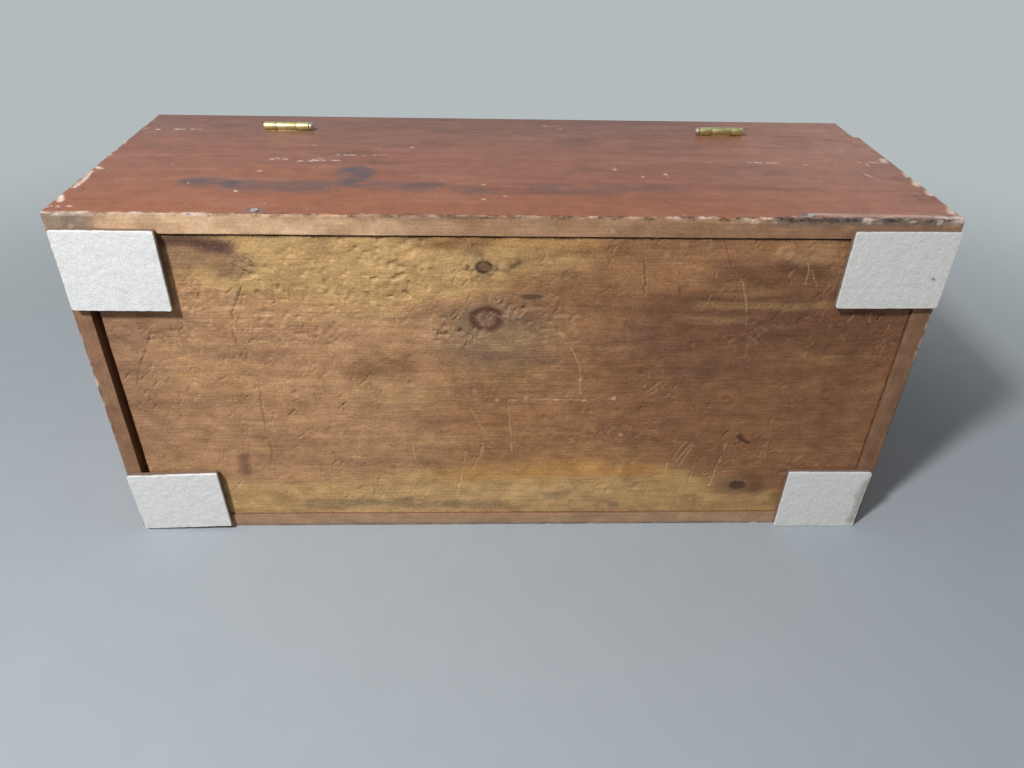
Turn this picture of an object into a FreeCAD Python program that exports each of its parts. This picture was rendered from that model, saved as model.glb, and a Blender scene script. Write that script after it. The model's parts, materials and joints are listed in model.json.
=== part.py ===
import FreeCAD, Part

import os

import Sketcher

# A small carpenter's tool chest: a dovetailed case on felt pads, a boxed lid on two butt hinges,
# a box lock, two drop handles and a sliding till.
# Row frame: +Z up, the front faces -Y, the length runs along X, and the origin is the middle of
# the base, on the underside of the felt pads. All sizes are in millimetres.

SIZES = [
    # the case
    ("chest_length", 610, "outside length of the case"),
    ("chest_depth", 279, "outside depth of the case, front to back"),
    ("case_height", 183, "height of the case walls up to the lid's seam"),
    ("front_thick", 12.5, "thickness of the front board"),
    ("back_thick", 14.5, "thickness of the back board"),
    ("left_end_thick", 14.5, "thickness of the left end board"),
    ("right_end_thick", 12, "thickness of the right end board"),
    ("bottom_thick", 12.5, "thickness of the bottom board"),
    ("bottom_recess", 1, "how far the bottom board lies up inside the walls"),
    ("bottom_gap", 0.6, "gap round the bottom board at the front, back and left end"),
    ("bottom_end_gap", 5.5, "gap at the right end, where the bottom board was cut short"),
    # the dovetails
    ("pin_pitch", 40, "distance between the middles of neighbouring pins"),
    ("pin_narrow", 5.5, "width of a pin at the outer face of its end board"),
    ("half_pin", 5.5, "height of the half pin at a corner, at the outer face"),
    ("pin_slope", 0.2, "sideways slope of a pin's cheek"),
    ("least_tail", 10, "smallest tail left between the last pin and the edge"),
    # the lid
    ("seam_gap", 0.6, "gap between the case and the lid"),
    ("rim_height", 31, "height of the lid's rim boards"),
    ("lid_top_thick", 12, "thickness of the lid's top board"),
    ("lid_left_inset", 4.5, "how far the lid falls short of the case at the left end"),
    ("lid_top_round", 2, "rounding of the top board's upper edges"),
    # the felt pads
    ("pad_thick", 5, "thickness of the felt pads"),
    ("pad_corner", 1.5, "rounding of a pad's corners"),
    ("back_right_pad_length", 68, "length of the pad at the back right corner"),
    ("back_right_pad_width", 59, "width of that pad"),
    ("back_right_pad_end_inset", 3, "its distance from the right end"),
    ("back_right_pad_side_inset", 11, "its distance from the back"),
    ("back_right_pad_turn", 0.2, "its turn on the board, in degrees"),
    ("back_left_pad_length", 73, "length of the pad at the back left corner"),
    ("back_left_pad_width", 58, "width of that pad"),
    ("back_left_pad_end_inset", 1, "its distance from the left end"),
    ("back_left_pad_side_inset", 7.5, "its distance from the back"),
    ("back_left_pad_turn", -0.4, "its turn on the board, in degrees"),
    ("front_right_pad_length", 72, "length of the pad at the front right corner"),
    ("front_right_pad_width", 57, "width of that pad"),
    ("front_right_pad_end_inset", 2.5, "its distance from the right end"),
    ("front_right_pad_side_inset", 3, "its distance from the front"),
    ("front_right_pad_turn", -2, "its turn on the board, in degrees"),
    ("front_left_pad_length", 69.5, "length of the pad at the front left corner"),
    ("front_left_pad_width", 60, "width of that pad"),
    ("front_left_pad_end_inset", 4, "its distance from the left end"),
    ("front_left_pad_side_inset", 0.5, "its distance from the front"),
    ("front_left_pad_turn", 0.5, "its turn on the board, in degrees"),
    # the hinges
    ("hinge_offset", 184, "distance of each hinge's middle from the middle of the chest"),
    ("barrel_radius", 3.2, "outer radius of the hinge knuckles"),
    ("barrel_stand", 0.3, "clearance between the barrel and the back of the chest"),
    ("end_knuckle", 10, "length of each outer knuckle"),
    ("middle_knuckle", 16, "length of the middle knuckle"),
    ("knuckle_gap", 0.4, "gap between neighbouring knuckles"),
    ("leaf_thick", 1.6, "thickness of a hinge leaf"),
    ("leaf_land", 3, "wood left between a leaf and the inside of the back board"),
    ("hinge_pin_radius", 1.3, "radius of the hinge pins"),
    ("pin_clearance", 0.04, "radial clearance of a pin in its knuckles and of a bail in its lugs"),
    ("pin_head_radius", 2.8, "radius of a hinge pin's round head"),
    ("pin_head_length", 3.4, "length of a hinge pin's round head"),
    ("pin_head_round", 2.2, "rounding of a hinge pin's head"),
    # fasteners
    ("fastener_play", 0.05, "clearance round a screw or nail in its hole"),
    ("screw_head_depth", 1.5, "depth of a screw's countersunk head"),
    ("slot_width", 0.8, "width of a screw's slot"),
    ("slot_depth", 0.7, "depth of a screw's slot"),
    ("screw_taper", 3, "length of a screw over the length of its tapered end"),
    ("screw_point", 4, "shank radius of a screw over the radius of its point"),
    ("nail_head_thick", 0.8, "thickness of a nail's head"),
    ("hinge_screw_head", 2.6, "head radius of the hinge screws"),
    ("hinge_screw_shank", 1.3, "shank radius of the hinge screws"),
    ("hinge_screw_length", 12, "length of the hinge screws"),
    ("hinge_screw_spread", 10.5, "distance of a hinge screw from the hinge's middle"),
    ("bottom_nail_head", 2.4, "head radius of the bottom nails"),
    ("bottom_nail_shank", 1.1, "shank radius of the bottom nails"),
    ("bottom_nail_length", 32, "length of the bottom nails"),
    ("bottom_nail_height", 5, "height of the bottom nails above the walls' lower edge"),
    ("bottom_nail_spread", 185, "distance of a bottom nail from the middle of the chest"),
    ("bottom_nail_shift", 16, "how far the bottom nails lie to the left of even"),
    ("end_nail_spread", 62, "distance of a left end nail from the middle of the end"),
    ("lid_nail_head", 2, "head radius of the lid nails"),
    ("lid_nail_shank", 1, "shank radius of the lid nails"),
    ("lid_nail_length", 30, "length of the lid nails"),
    ("lid_nail_spread", 270, "distance of the outer lid nails from the middle"),
    ("lid_nail_set", 0.3, "depth of the lid nails' heads below the top board's face"),
    # the lock
    ("lock_cover", 3, "wood left in front of the lock"),
    ("lock_length", 62, "length of the lock's plate"),
    ("lock_height", 40, "height of the lock's plate"),
    ("lock_plate_thick", 1.5, "thickness of the lock's plate and of the strike"),
    ("lock_flange", 6, "margin of the plate beyond the cap"),
    ("lock_cap_wall", 1, "wall of the lock's cap"),
    ("bolt_height", 10, "height of the bolt's bar"),
    ("bolt_play", 0.3, "clearance round the bolt"),
    ("bolt_travel", 6, "travel of the bolt"),
    ("bolt_ledge", 14, "length of each ledge that carries the bolt"),
    ("talon_length", 7, "length of the notch that the key's bit moves"),
    ("talon_depth", 2.5, "depth of that notch"),
    ("nose_thick", 2, "thickness of the bolt's two noses"),
    ("nose_height", 3, "height of the bolt's noses"),
    ("nose_leg", 3, "width of the leg that carries a nose"),
    ("loop_spread", 12, "distance of each strike loop from the lock's middle"),
    ("loop_thick", 2.4, "thickness of a strike loop"),
    ("loop_drop", 9.5, "how far a strike loop reaches below the strike plate"),
    ("loop_frame", 1.6, "metal round the window of a strike loop"),
    ("loop_play", 0.8, "clearance round a strike loop in the lock"),
    ("lock_screw_head", 2.2, "head radius of the lock's screws"),
    ("lock_screw_shank", 1.1, "shank radius of the lock's screws"),
    ("lock_screw_length", 7, "length of the lock's screws"),
    ("lock_screw_margin", 3, "distance of a lock screw from the plate's edges"),
    ("lock_screw_drop", 6, "distance of the upper lock screws below the plate's flange"),
    ("strike_screw_head", 2.2, "head radius of the strike's screws"),
    ("strike_screw_shank", 1.1, "shank radius of the strike's screws"),
    ("strike_screw_length", 12, "length of the strike's screws"),
    ("strike_screw_spread", 25, "distance of a strike screw from the lock's middle"),
    ("key_pin_radius", 2.6, "radius of the keyhole's round end"),
    ("key_slot_width", 2.2, "width of the keyhole's slot"),
    ("key_slot_length", 6.5, "length of the keyhole below its round end's middle"),
    ("keyhole_drop", 24.5, "depth of the keyhole's round end below the case's rim"),
    ("escutcheon_radius", 9, "radius of the escutcheon's round ends"),
    ("escutcheon_height", 34, "height of the escutcheon"),
    ("escutcheon_thick", 1.2, "thickness of the escutcheon"),
    ("escutcheon_pin_head", 1.2, "head radius of the escutcheon's pins"),
    ("escutcheon_pin_shank", 0.7, "shank radius of the escutcheon's pins"),
    ("escutcheon_pin_length", 3.4, "length of the escutcheon's pins"),
    ("escutcheon_pin_margin", 3.5, "distance of a pin from the escutcheon's end"),
    # the handles
    ("handle_height", 118, "height of the bail's axis above the case's lower edge"),
    ("handle_plate_length", 124, "length of a handle's back plate"),
    ("handle_plate_height", 30, "height of a handle's back plate"),
    ("handle_plate_thick", 2.6, "thickness of a handle's back plate"),
    ("handle_plate_corner", 6, "corner radius of a handle's back plate"),
    ("handle_stand", 9, "distance of the bail's axis from the plate"),
    ("lug_spread", 46, "distance of a lug's middle from the handle's middle"),
    ("lug_thick", 8, "thickness of a lug"),
    ("lug_radius", 6, "outer radius of a lug"),
    ("stop_reach", 7, "reach of a lug's stop, inward and outward beyond the bail's axis"),
    ("stop_gap", 0.3, "gap between a raised bail and its stops"),
    ("bail_radius", 3.2, "radius of the bail's bar"),
    ("bail_bend", 7, "bend radius of the bail"),
    ("bail_drop", 38, "drop of the grip below the bail's axis"),
    ("bail_side_gap", 1, "gap between the bail's bends and the lugs"),
    ("grip_radius", 5, "radius of the swelling in the grip"),
    ("grip_length", 50, "length of the swelling in the grip"),
    ("handle_screw_head", 3.4, "head radius of the handle screws"),
    ("handle_screw_shank", 1.8, "shank radius of the handle screws"),
    ("handle_screw_length", 11, "length of the handle screws"),
    ("handle_screw_margin", 6.5, "distance of a handle screw from the plate's edges"),
    # the till
    ("till_depth", 118, "outside depth of the till, front to back"),
    ("till_height", 58, "height of the till's walls above its bottom"),
    ("till_side_thick", 8, "thickness of the till's walls"),
    ("till_bottom_thick", 5, "thickness of the till's bottom"),
    ("till_divider_thick", 6, "thickness of the till's dividers"),
    ("till_divider_spread", 95, "distance of each divider from the middle"),
    ("till_divider_drop", 5, "how far the dividers end below the till's top"),
    ("till_housing", 2, "depth of the grooves that hold the dividers"),
    ("till_drop", 4, "how far the till's top lies below the case's rim"),
    ("till_end_play", 1.2, "clearance between the till and each end board"),
    ("till_back_play", 1.5, "clearance behind the till when it is pushed back"),
    ("till_nail_head", 1.5, "head radius of the till's nails"),
    ("till_nail_shank", 0.8, "shank radius of the till's nails"),
    ("till_nail_length", 20, "length of the till's nails"),
    ("till_nail_spread", 17, "distance of a corner nail from the middle of the wall's height"),
    ("till_bottom_nail_spread", 240, "distance of an outer bottom nail from the middle"),
    ("runner_width", 14, "width of a till runner"),
    ("runner_height", 12, "height of a till runner"),
    ("runner_end_gap", 0.3, "gap at each end of a till runner"),
    ("runner_screw_head", 3, "head radius of the runner screws"),
    ("runner_screw_shank", 1.5, "shank radius of the runner screws"),
    ("runner_screw_length", 22, "length of the runner screws"),
    ("runner_screw_spread", 85, "distance of a runner screw from the middle"),
]

doc = FreeCAD.newDocument("ToolChest")
sheet = doc.addObject("Spreadsheet::Sheet", "sizes")
for row, (alias, number, meaning) in enumerate(SIZES, 1):
    sheet.set(f"A{row}", meaning)
    sheet.set(f"B{row}", str(number))
    sheet.setAlias(f"B{row}", alias)
doc.recompute()


class Size:
    """A length as the sheet expression that gives it, together with its value now."""

    def __init__(self, text, value):
        self.text = text
        self.value = float(value)

    def __add__(self, other):
        other = size(other)
        return Size(f"({self.text} + {other.text})", self.value + other.value)

    def __sub__(self, other):
        other = size(other)
        return Size(f"({self.text} - {other.text})", self.value - other.value)

    def __mul__(self, other):
        other = size(other)
        return Size(f"({self.text} * {other.text})", self.value * other.value)

    def __truediv__(self, other):
        other = size(other)
        return Size(f"({self.text} / {other.text})", self.value / other.value)

    def __neg__(self):
        return Size(f"(0 - {self.text})", -self.value)

    __radd__ = __add__
    __rmul__ = __mul__

    def __rsub__(self, other):
        return size(other) - self


def size(what):
    """A Size from a sheet alias, a number or another Size."""
    if isinstance(what, Size):
        return what
    if isinstance(what, str):
        return Size(f"sizes.{what}", sheet.get(what))
    return Size(repr(what), what)


# ---------------------------------------------------------------- building blocks

X, Y, Z = range(3)
# For each axis: the origin plane square to it, and whether the normal of that plane's sketches
# points along the axis. Their own axes run along the other two, in order.
PLANES = {
    X: ("YZ_Plane", True),
    Y: ("XZ_Plane", False),
    Z: ("XY_Plane", True),
}
# Turns that take +Z to plus or minus each axis.
TURNS = {
    (X, 1): FreeCAD.Rotation(FreeCAD.Vector(0, 1, 0), 90),
    (X, -1): FreeCAD.Rotation(FreeCAD.Vector(0, 1, 0), -90),
    (Y, 1): FreeCAD.Rotation(FreeCAD.Vector(1, 0, 0), -90),
    (Y, -1): FreeCAD.Rotation(FreeCAD.Vector(1, 0, 0), 90),
    (Z, 1): FreeCAD.Rotation(),
    (Z, -1): FreeCAD.Rotation(FreeCAD.Vector(1, 0, 0), 180),
}
parts = []


def new_part(label, corner=(0, 0, 0)):
    """An empty body whose own origin stands at corner in the row frame."""
    part = doc.addObject("PartDesign::Body", label)
    part.Label = label
    part.AllowCompound = True
    for letter, place in zip("xyz", corner):
        part.setExpression(f"Placement.Base.{letter}", size(place).text)
    parts.append(part)
    return part


def new_sketch(part, axis, level):
    """A sketch square to axis, at level along it."""
    role, along = PLANES[axis]
    plane = next(item for item in part.Origin.OriginFeatures if item.Role == role)
    sketch = part.newObject("Sketcher::SketchObject", f"{part.Label}_sketch")
    sketch.AttachmentSupport = [(plane, "")]
    sketch.MapMode = "FlatFace"
    offset = size(level) if along else -size(level)
    sketch.setExpression("AttachmentOffset.Base.z", offset.text)
    return sketch


def bind(sketch, kind, places, length):
    """A constraint of this kind whose value follows a Size."""
    number = sketch.addConstraint(Sketcher.Constraint(kind, *places, length.value))
    name = f"{kind}{number}"
    sketch.renameConstraint(number, name)
    sketch.setExpression(f"Constraints.{name}", length.text)


def place_point(sketch, line, end, point):
    """Hold one end of a line at a point of the sketch."""
    bind(sketch, "DistanceX", (-1, 1, line, end), size(point[0]))
    bind(sketch, "DistanceY", (-1, 1, line, end), size(point[1]))


def vector(point):
    return FreeCAD.Vector(size(point[0]).value, size(point[1]).value, 0)


def add_polygon(sketch, points):
    """A closed outline through these points."""
    first = sketch.GeometryCount
    count = len(points)
    for number, point in enumerate(points):
        after = points[(number + 1) % count]
        sketch.addGeometry(Part.LineSegment(vector(point), vector(after)))
    for number, point in enumerate(points):
        after = (number + 1) % count
        sketch.addConstraint(Sketcher.Constraint("Coincident", first + number, 2, first + after, 1))
        place_point(sketch, first + number, 1, point)


def rectangle(low, high):
    return [low, (high[0], low[1]), high, (low[0], high[1])]


def extrude(part, axis, start, length, outlines, cut=False):
    """Pad or pocket closed outlines from start along +axis for length."""
    sketch = new_sketch(part, axis, start)
    for outline in outlines:
        add_polygon(sketch, outline)
    kind = "Pocket" if cut else "Pad"
    feature = part.newObject(f"PartDesign::{kind}", f"{part.Label}_{kind.lower()}")
    feature.Profile = sketch
    feature.setExpression("Length", size(length).text)
    # A pad follows its sketch's normal and a pocket goes against it.
    feature.Reversed = PLANES[axis][1] == cut


def add_block(part, low, sides, cut=False):
    """A block from its low corner, added or cut."""
    kind = "Subtractive" if cut else "Additive"
    feature = part.newObject(f"PartDesign::{kind}Box", f"{part.Label}_block")
    for name, side in zip(("Length", "Width", "Height"), sides):
        feature.setExpression(name, size(side).text)
    for letter, place in zip("xyz", low):
        feature.setExpression(f"Placement.Base.{letter}", size(place).text)


def add_round(part, kind, at, direction, cut=False, **sizes):
    """A cylinder, cone or other round primitive from at, its axis along direction."""
    sign = "Subtractive" if cut else "Additive"
    feature = part.newObject(f"PartDesign::{sign}{kind}", f"{part.Label}_{kind.lower()}")
    feature.Placement = FreeCAD.Placement(FreeCAD.Vector(), TURNS[direction])
    for letter, place in zip("xyz", at):
        feature.setExpression(f"Placement.Base.{letter}", size(place).text)
    for name, value in sizes.items():
        feature.setExpression(name, size(value).text)


def ahead(at, direction, distance):
    """The point at this distance from at along a direction."""
    axis, sign = direction
    moved = [size(place) for place in at]
    moved[axis] = moved[axis] + size(distance) * sign
    return tuple(moved)


def round_edges(part, chosen, radius):
    """Fillet the edges of the part's last feature that chosen accepts."""
    doc.recompute()
    tip = part.Tip
    names = [
        f"Edge{number}"
        for number, edge in enumerate(tip.Shape.Edges, 1)
        if chosen(edge)
    ]
    fillet = part.newObject("PartDesign::Fillet", f"{part.Label}_fillet")
    fillet.Base = (tip, names)
    fillet.setExpression("Radius", size(radius).text)


def runs_along(edge, axis):
    """Whether an edge is straight and parallel to an axis."""
    box = edge.BoundBox
    spans = (box.XLength, box.YLength, box.ZLength)
    across = [span for number, span in enumerate(spans) if number != axis]
    return max(across) < 1e-6


# ---------------------------------------------------------------- fasteners

# Each kind of screw or nail has its own _head and _shank radius and its _length in the sheet.

def add_screw(part, at, direction, kind):
    """A slotted countersunk wood screw with its head flush at a point."""
    head = size(f"{kind}_head")
    shank = size(f"{kind}_shank")
    tip = size(f"{kind}_length") / "screw_taper"
    body = size(f"{kind}_length") - tip
    add_round(part, "Cone", at, direction,
              Radius1=head, Radius2=shank, Height="screw_head_depth")
    add_round(part, "Cylinder", at, direction, Radius=shank, Height=body)
    add_round(part, "Cone", ahead(at, direction, body), direction,
              Radius1=shank, Radius2=shank / "screw_point", Height=tip)
    axis, sign = direction
    sides = [size("slot_width")] * 3
    sides[axis] = size("slot_depth")
    sides[(axis + 1) % 3] = head * 2
    low = [size(place) - side / 2 for place, side in zip(at, sides)]
    low[axis] = size(at[axis]) if sign > 0 else size(at[axis]) - "slot_depth"
    add_block(part, low, sides, cut=True)


def add_nail(part, at, direction, kind):
    """A nail whose head lies on the surface at a point."""
    top = ahead(at, direction, -size("nail_head_thick"))
    add_round(part, "Cylinder", top, direction, Radius=f"{kind}_head", Height="nail_head_thick")
    add_round(part, "Cylinder", top, direction,
              Radius=f"{kind}_shank", Height=size(f"{kind}_length") + "nail_head_thick")


def cut_hole(part, at, direction, kind):
    """The hole that a screw or nail has bored for itself, from the point of its head."""
    play = size("fastener_play")
    add_round(part, "Cylinder", at, direction, cut=True,
              Radius=size(f"{kind}_shank") + play, Height=size(f"{kind}_length") + play)


def cut_countersink(part, at, direction, kind):
    """The seat for a screw's head and the hole for its shank."""
    play = size("fastener_play")
    add_round(part, "Cone", at, direction, cut=True, Radius1=size(f"{kind}_head") + play,
              Radius2=size(f"{kind}_shank") + play, Height="screw_head_depth")
    cut_hole(part, at, direction, kind)


def shifted(at, corner):
    """A row point in the frame of a part that stands at corner."""
    return tuple(size(place) - size(base) for place, base in zip(at, corner))


# ---------------------------------------------------------------- where things are

half_length = size("chest_length") / 2
half_depth = size("chest_depth") / 2
left_x = -half_length
right_x = half_length
front_y = -half_depth
back_y = half_depth
base_z = size("pad_thick")
rim_z = base_z + "case_height"
seam_z = rim_z + size("seam_gap") / 2
lid_z = rim_z + "seam_gap"
lid_top_z = lid_z + "rim_height"
lid_left_x = left_x + "lid_left_inset"
lid_length = size("chest_length") - "lid_left_inset"

inside_left_x = left_x + "left_end_thick"
inside_right_x = right_x - "right_end_thick"
inside_front_y = front_y + "front_thick"
inside_back_y = back_y - "back_thick"


# ---------------------------------------------------------------- dovetailed boards

def pin_middles(height, least_tail):
    """Heights of the middles of the whole pins below a board's top."""
    count = int((height.value - least_tail.value) / size("pin_pitch").value)
    return [size("pin_pitch") * number for number in range(1, count + 1)]


def tail_board_end(depth, height, pins, half_pin_low):
    """One end of a tail board as (distance from the end, height) points, from the bottom up.

    The sockets for the pins are narrow at the board's end and widen by the pins' slope."""
    widening = size(depth) * "pin_slope"
    outline = [(size(0), size(0))]
    if half_pin_low:
        outline = [
            (size(depth), size(0)),
            (size(depth), size("half_pin") + widening),
            (size(0), size("half_pin")),
        ]
    for middle in pins:
        narrow = size("pin_narrow") / 2
        outline += [
            (size(0), middle - narrow),
            (size(depth), middle - narrow - widening),
            (size(depth), middle + narrow + widening),
            (size(0), middle + narrow),
        ]
    if half_pin_low:
        outline.append((size(0), height))
    else:
        outline += [
            (size(0), height - "half_pin"),
            (size(depth), height - "half_pin" - widening),
            (size(depth), height),
        ]
    return outline


def tail_shapes(depth, height, pins, half_pin_low):
    """The outlines of the tails, which are the sockets in a pin board's end."""
    widening = size(depth) * "pin_slope"
    narrow = size("pin_narrow") / 2
    lows = [middle + narrow for middle in pins]
    highs = [middle - narrow for middle in pins]
    if half_pin_low:
        lows.insert(0, size("half_pin"))
        highs.append(height)
    else:
        lows.insert(0, size(0))
        highs.append(height - "half_pin")
    shapes = []
    for number, (low, high) in enumerate(zip(lows, highs)):
        open_low = not half_pin_low and number == 0
        open_high = half_pin_low and number == len(lows) - 1
        inner_low = low if open_low else low + widening
        inner_high = high if open_high else high - widening
        shapes.append([(size(0), low), (size(depth), inner_low),
                       (size(depth), inner_high), (size(0), high)])
    return shapes


def make_tail_board(label, corner, length, thick, height, pins, half_pin_low):
    """A board along X with tails at both ends."""
    part = new_part(label, corner)
    left = tail_board_end("left_end_thick", height, pins, half_pin_low)
    right = tail_board_end("right_end_thick", height, pins, half_pin_low)
    outline = [(length - away, level) for away, level in right]
    outline += [(away, level) for away, level in reversed(left)]
    extrude(part, Y, 0, thick, [outline])
    return part


def make_pin_board(label, corner, thick, height, pins, half_pin_low, outer_is_high):
    """A board along Y with pins at both ends; outer_is_high puts its outer face at +X."""
    part = new_part(label, corner)
    extrude(part, X, 0, thick, [rectangle((0, 0), ("chest_depth", height))])
    shapes = tail_shapes(thick, height, pins, half_pin_low)
    if outer_is_high:
        shapes = [[(size(thick) - away, level) for away, level in shape] for shape in shapes]
    extrude(part, Y, 0, "front_thick", shapes, cut=True)
    extrude(part, Y, size("chest_depth") - "back_thick", "back_thick", shapes, cut=True)
    return part


case_pins = pin_middles(size("case_height"), size("least_tail"))
back_corner = (left_x, inside_back_y, base_z)
front_corner = (left_x, front_y, base_z)
left_corner = (left_x, front_y, base_z)
right_corner = (inside_right_x, front_y, base_z)

back_board = make_tail_board("back_board", back_corner, size("chest_length"),
                             "back_thick", size("case_height"), case_pins, True)
front_board = make_tail_board("front_board", front_corner, size("chest_length"),
                              "front_thick", size("case_height"), case_pins, True)
left_end_board = make_pin_board("left_end_board", left_corner, "left_end_thick",
                                size("case_height"), case_pins, True, False)
right_end_board = make_pin_board("right_end_board", right_corner, "right_end_thick",
                                 size("case_height"), case_pins, True, True)

lid_corner = (lid_left_x, front_y, lid_z)
lid_back_corner = (lid_left_x, inside_back_y, lid_z)
lid_right_corner = (inside_right_x, front_y, lid_z)

lid_back_rim = make_tail_board("lid_back_rim", lid_back_corner, lid_length,
                               "back_thick", size("rim_height"), [], False)
lid_front_rim = make_tail_board("lid_front_rim", lid_corner, lid_length,
                                "front_thick", size("rim_height"), [], False)
make_pin_board("lid_left_rim", lid_corner, "left_end_thick",
               size("rim_height"), [], False, False)
make_pin_board("lid_right_rim", lid_right_corner, "right_end_thick",
               size("rim_height"), [], False, True)

# ---------------------------------------------------------------- lid top

lid_top_corner = (lid_left_x, front_y, lid_top_z)
lid_top = new_part("lid_top", lid_top_corner)
extrude(lid_top, Z, 0, "lid_top_thick", [rectangle((0, 0), (lid_length, "chest_depth"))])
top_level = size("lid_top_thick").value
round_edges(lid_top, lambda edge: edge.BoundBox.ZMin > top_level - 1e-6, "lid_top_round")

# Nails through the top board into the rim, three along each long side, punched below the face.
punch_depth = size("lid_nail_set") + "nail_head_thick"
lid_nail_spots = [
    (place, side, lid_top_z + "lid_top_thick" - punch_depth)
    for place in (-size("lid_nail_spread"), size(0), size("lid_nail_spread"))
    for side in (front_y + size("front_thick") / 2, back_y - size("back_thick") / 2)
]
lid_top_nails = new_part("lid_top_nails")
for spot in lid_nail_spots:
    add_nail(lid_top_nails, spot, (Z, -1), "lid_nail")
    cut_hole(lid_top, shifted(spot, lid_top_corner), (Z, -1), "lid_nail")
    add_round(lid_top, "Cylinder", shifted(spot, lid_top_corner), (Z, 1), cut=True,
              Radius=size("lid_nail_head") + "fastener_play", Height=punch_depth)
for rim, corner in ((lid_front_rim, lid_corner), (lid_back_rim, lid_back_corner)):
    for spot in lid_nail_spots:
        if (spot[Y].value < 0) == (rim is lid_front_rim):
            cut_hole(rim, shifted(spot, corner), (Z, -1), "lid_nail")

# ---------------------------------------------------------------- bottom board and its nails

bottom_corner = (
    inside_left_x + "bottom_gap",
    inside_front_y + "bottom_gap",
    base_z + "bottom_recess",
)
bottom_length = inside_right_x - inside_left_x - "bottom_gap" - "bottom_end_gap"
bottom_width = inside_back_y - inside_front_y - size("bottom_gap") * 2
bottom_board = new_part("bottom_board", bottom_corner)
extrude(bottom_board, Z, 0, "bottom_thick", [rectangle((0, 0), (bottom_length, bottom_width))])

nail_z = base_z + "bottom_nail_height"
bottom_nails = new_part("bottom_nails")
for side in (-1, 1):
    along = size("bottom_nail_spread") * side - "bottom_nail_shift"
    end_spot = (left_x, size("end_nail_spread") * side, nail_z)
    walls = (
        ((along, back_y, nail_z), (Y, -1), back_board, back_corner),
        ((along, front_y, nail_z), (Y, 1), front_board, front_corner),
        (end_spot, (X, 1), left_end_board, left_corner),
    )
    for spot, direction, wall, corner in walls:
        add_nail(bottom_nails, spot, direction, "bottom_nail")
        cut_hole(wall, shifted(spot, corner), direction, "bottom_nail")
        cut_hole(bottom_board, shifted(spot, bottom_corner), direction, "bottom_nail")

# ---------------------------------------------------------------- felt pads

def make_pad(front_or_back, left_or_right):
    """A hand-cut felt pad stuck under one corner, a little out of square."""
    name = f"{front_or_back}_{left_or_right}_pad"
    length = size(f"{name}_length")
    width = size(f"{name}_width")
    from_end = size(f"{name}_end_inset") + length / 2
    from_side = size(f"{name}_side_inset") + width / 2
    middle_x = left_x + from_end if left_or_right == "left" else right_x - from_end
    middle_y = front_y + from_side if front_or_back == "front" else back_y - from_side
    part = new_part(f"felt_pad_{front_or_back}_{left_or_right}", (middle_x, middle_y, 0))
    part.setExpression("Placement.Rotation.Angle", size(f"{name}_turn").text)
    low = (-length / 2, -width / 2)
    high = (length / 2, width / 2)
    extrude(part, Z, 0, "pad_thick", [rectangle(low, high)])
    round_edges(part, lambda edge: runs_along(edge, Z), "pad_corner")


for front_or_back in ("front", "back"):
    for left_or_right in ("left", "right"):
        make_pad(front_or_back, left_or_right)

# ---------------------------------------------------------------- hinges

# Each part of a hinge stands at the middle of its barrel's axis.
barrel_y = back_y + "barrel_radius" + "barrel_stand"
hinge_length = size("end_knuckle") * 2 + size("knuckle_gap") * 2 + "middle_knuckle"
knuckle_bore = size("hinge_pin_radius") + "pin_clearance"
barrel_room = size("barrel_radius") + "barrel_stand"
leaf_edge_y = back_y - (size("back_thick") - "leaf_land") - barrel_y
leaf_width = size("back_thick") - "leaf_land"
half_gap = size("seam_gap") / 2
case_leaf_levels = (-half_gap - "leaf_thick", -half_gap)
lid_leaf_levels = (half_gap, half_gap + "leaf_thick")
middle_span = (-size("middle_knuckle") / 2, size("middle_knuckle") / 2)
left_span = (-hinge_length / 2, -hinge_length / 2 + "end_knuckle")
right_span = (hinge_length / 2 - "end_knuckle", hinge_length / 2)
screw_row_y = leaf_edge_y + leaf_width / 2


def make_leaf(label, corner, levels, knuckles, direction):
    """A hinge leaf let into an edge, with its knuckles; its screws go in along direction."""
    part = new_part(label, corner)
    low, high = levels
    extrude(part, X, -hinge_length / 2, hinge_length,
            [rectangle((leaf_edge_y, low), (-barrel_room, high))])
    for start, end in knuckles:
        extrude(part, X, start, end - start, [rectangle((-barrel_room, low), (0, high))])
        add_round(part, "Cylinder", (start, 0, 0), (X, 1),
                  Radius="barrel_radius", Height=end - start)
    add_round(part, "Cylinder", (-hinge_length / 2, 0, 0), (X, 1), cut=True,
              Radius=knuckle_bore, Height=hinge_length)
    face = high if direction[1] < 0 else low
    for side in (-1, 1):
        spot = (size("hinge_screw_spread") * side, screw_row_y, face)
        cut_countersink(part, spot, direction, "hinge_screw")


def make_hinge_pin(label, corner, inner_sign):
    """A hinge pin with a round head at its inner end."""
    part = new_part(label, corner)
    inner = (X, inner_sign)
    start = ahead((0, 0, 0), inner, -hinge_length / 2)
    reach = hinge_length + "knuckle_gap"
    add_round(part, "Cylinder", start, inner, Radius="hinge_pin_radius", Height=reach)
    add_round(part, "Cylinder", ahead(start, inner, reach), inner,
              Radius="pin_head_radius", Height="pin_head_length")
    doc.recompute()
    outer_end = (hinge_length.value / 2 + size("knuckle_gap").value
                 + size("pin_head_length").value) * inner_sign
    round_edges(part, lambda edge: abs(edge.BoundBox.XMin - outer_end) < 1e-6
                and abs(edge.BoundBox.XMax - outer_end) < 1e-6,
                "pin_head_round")


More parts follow.
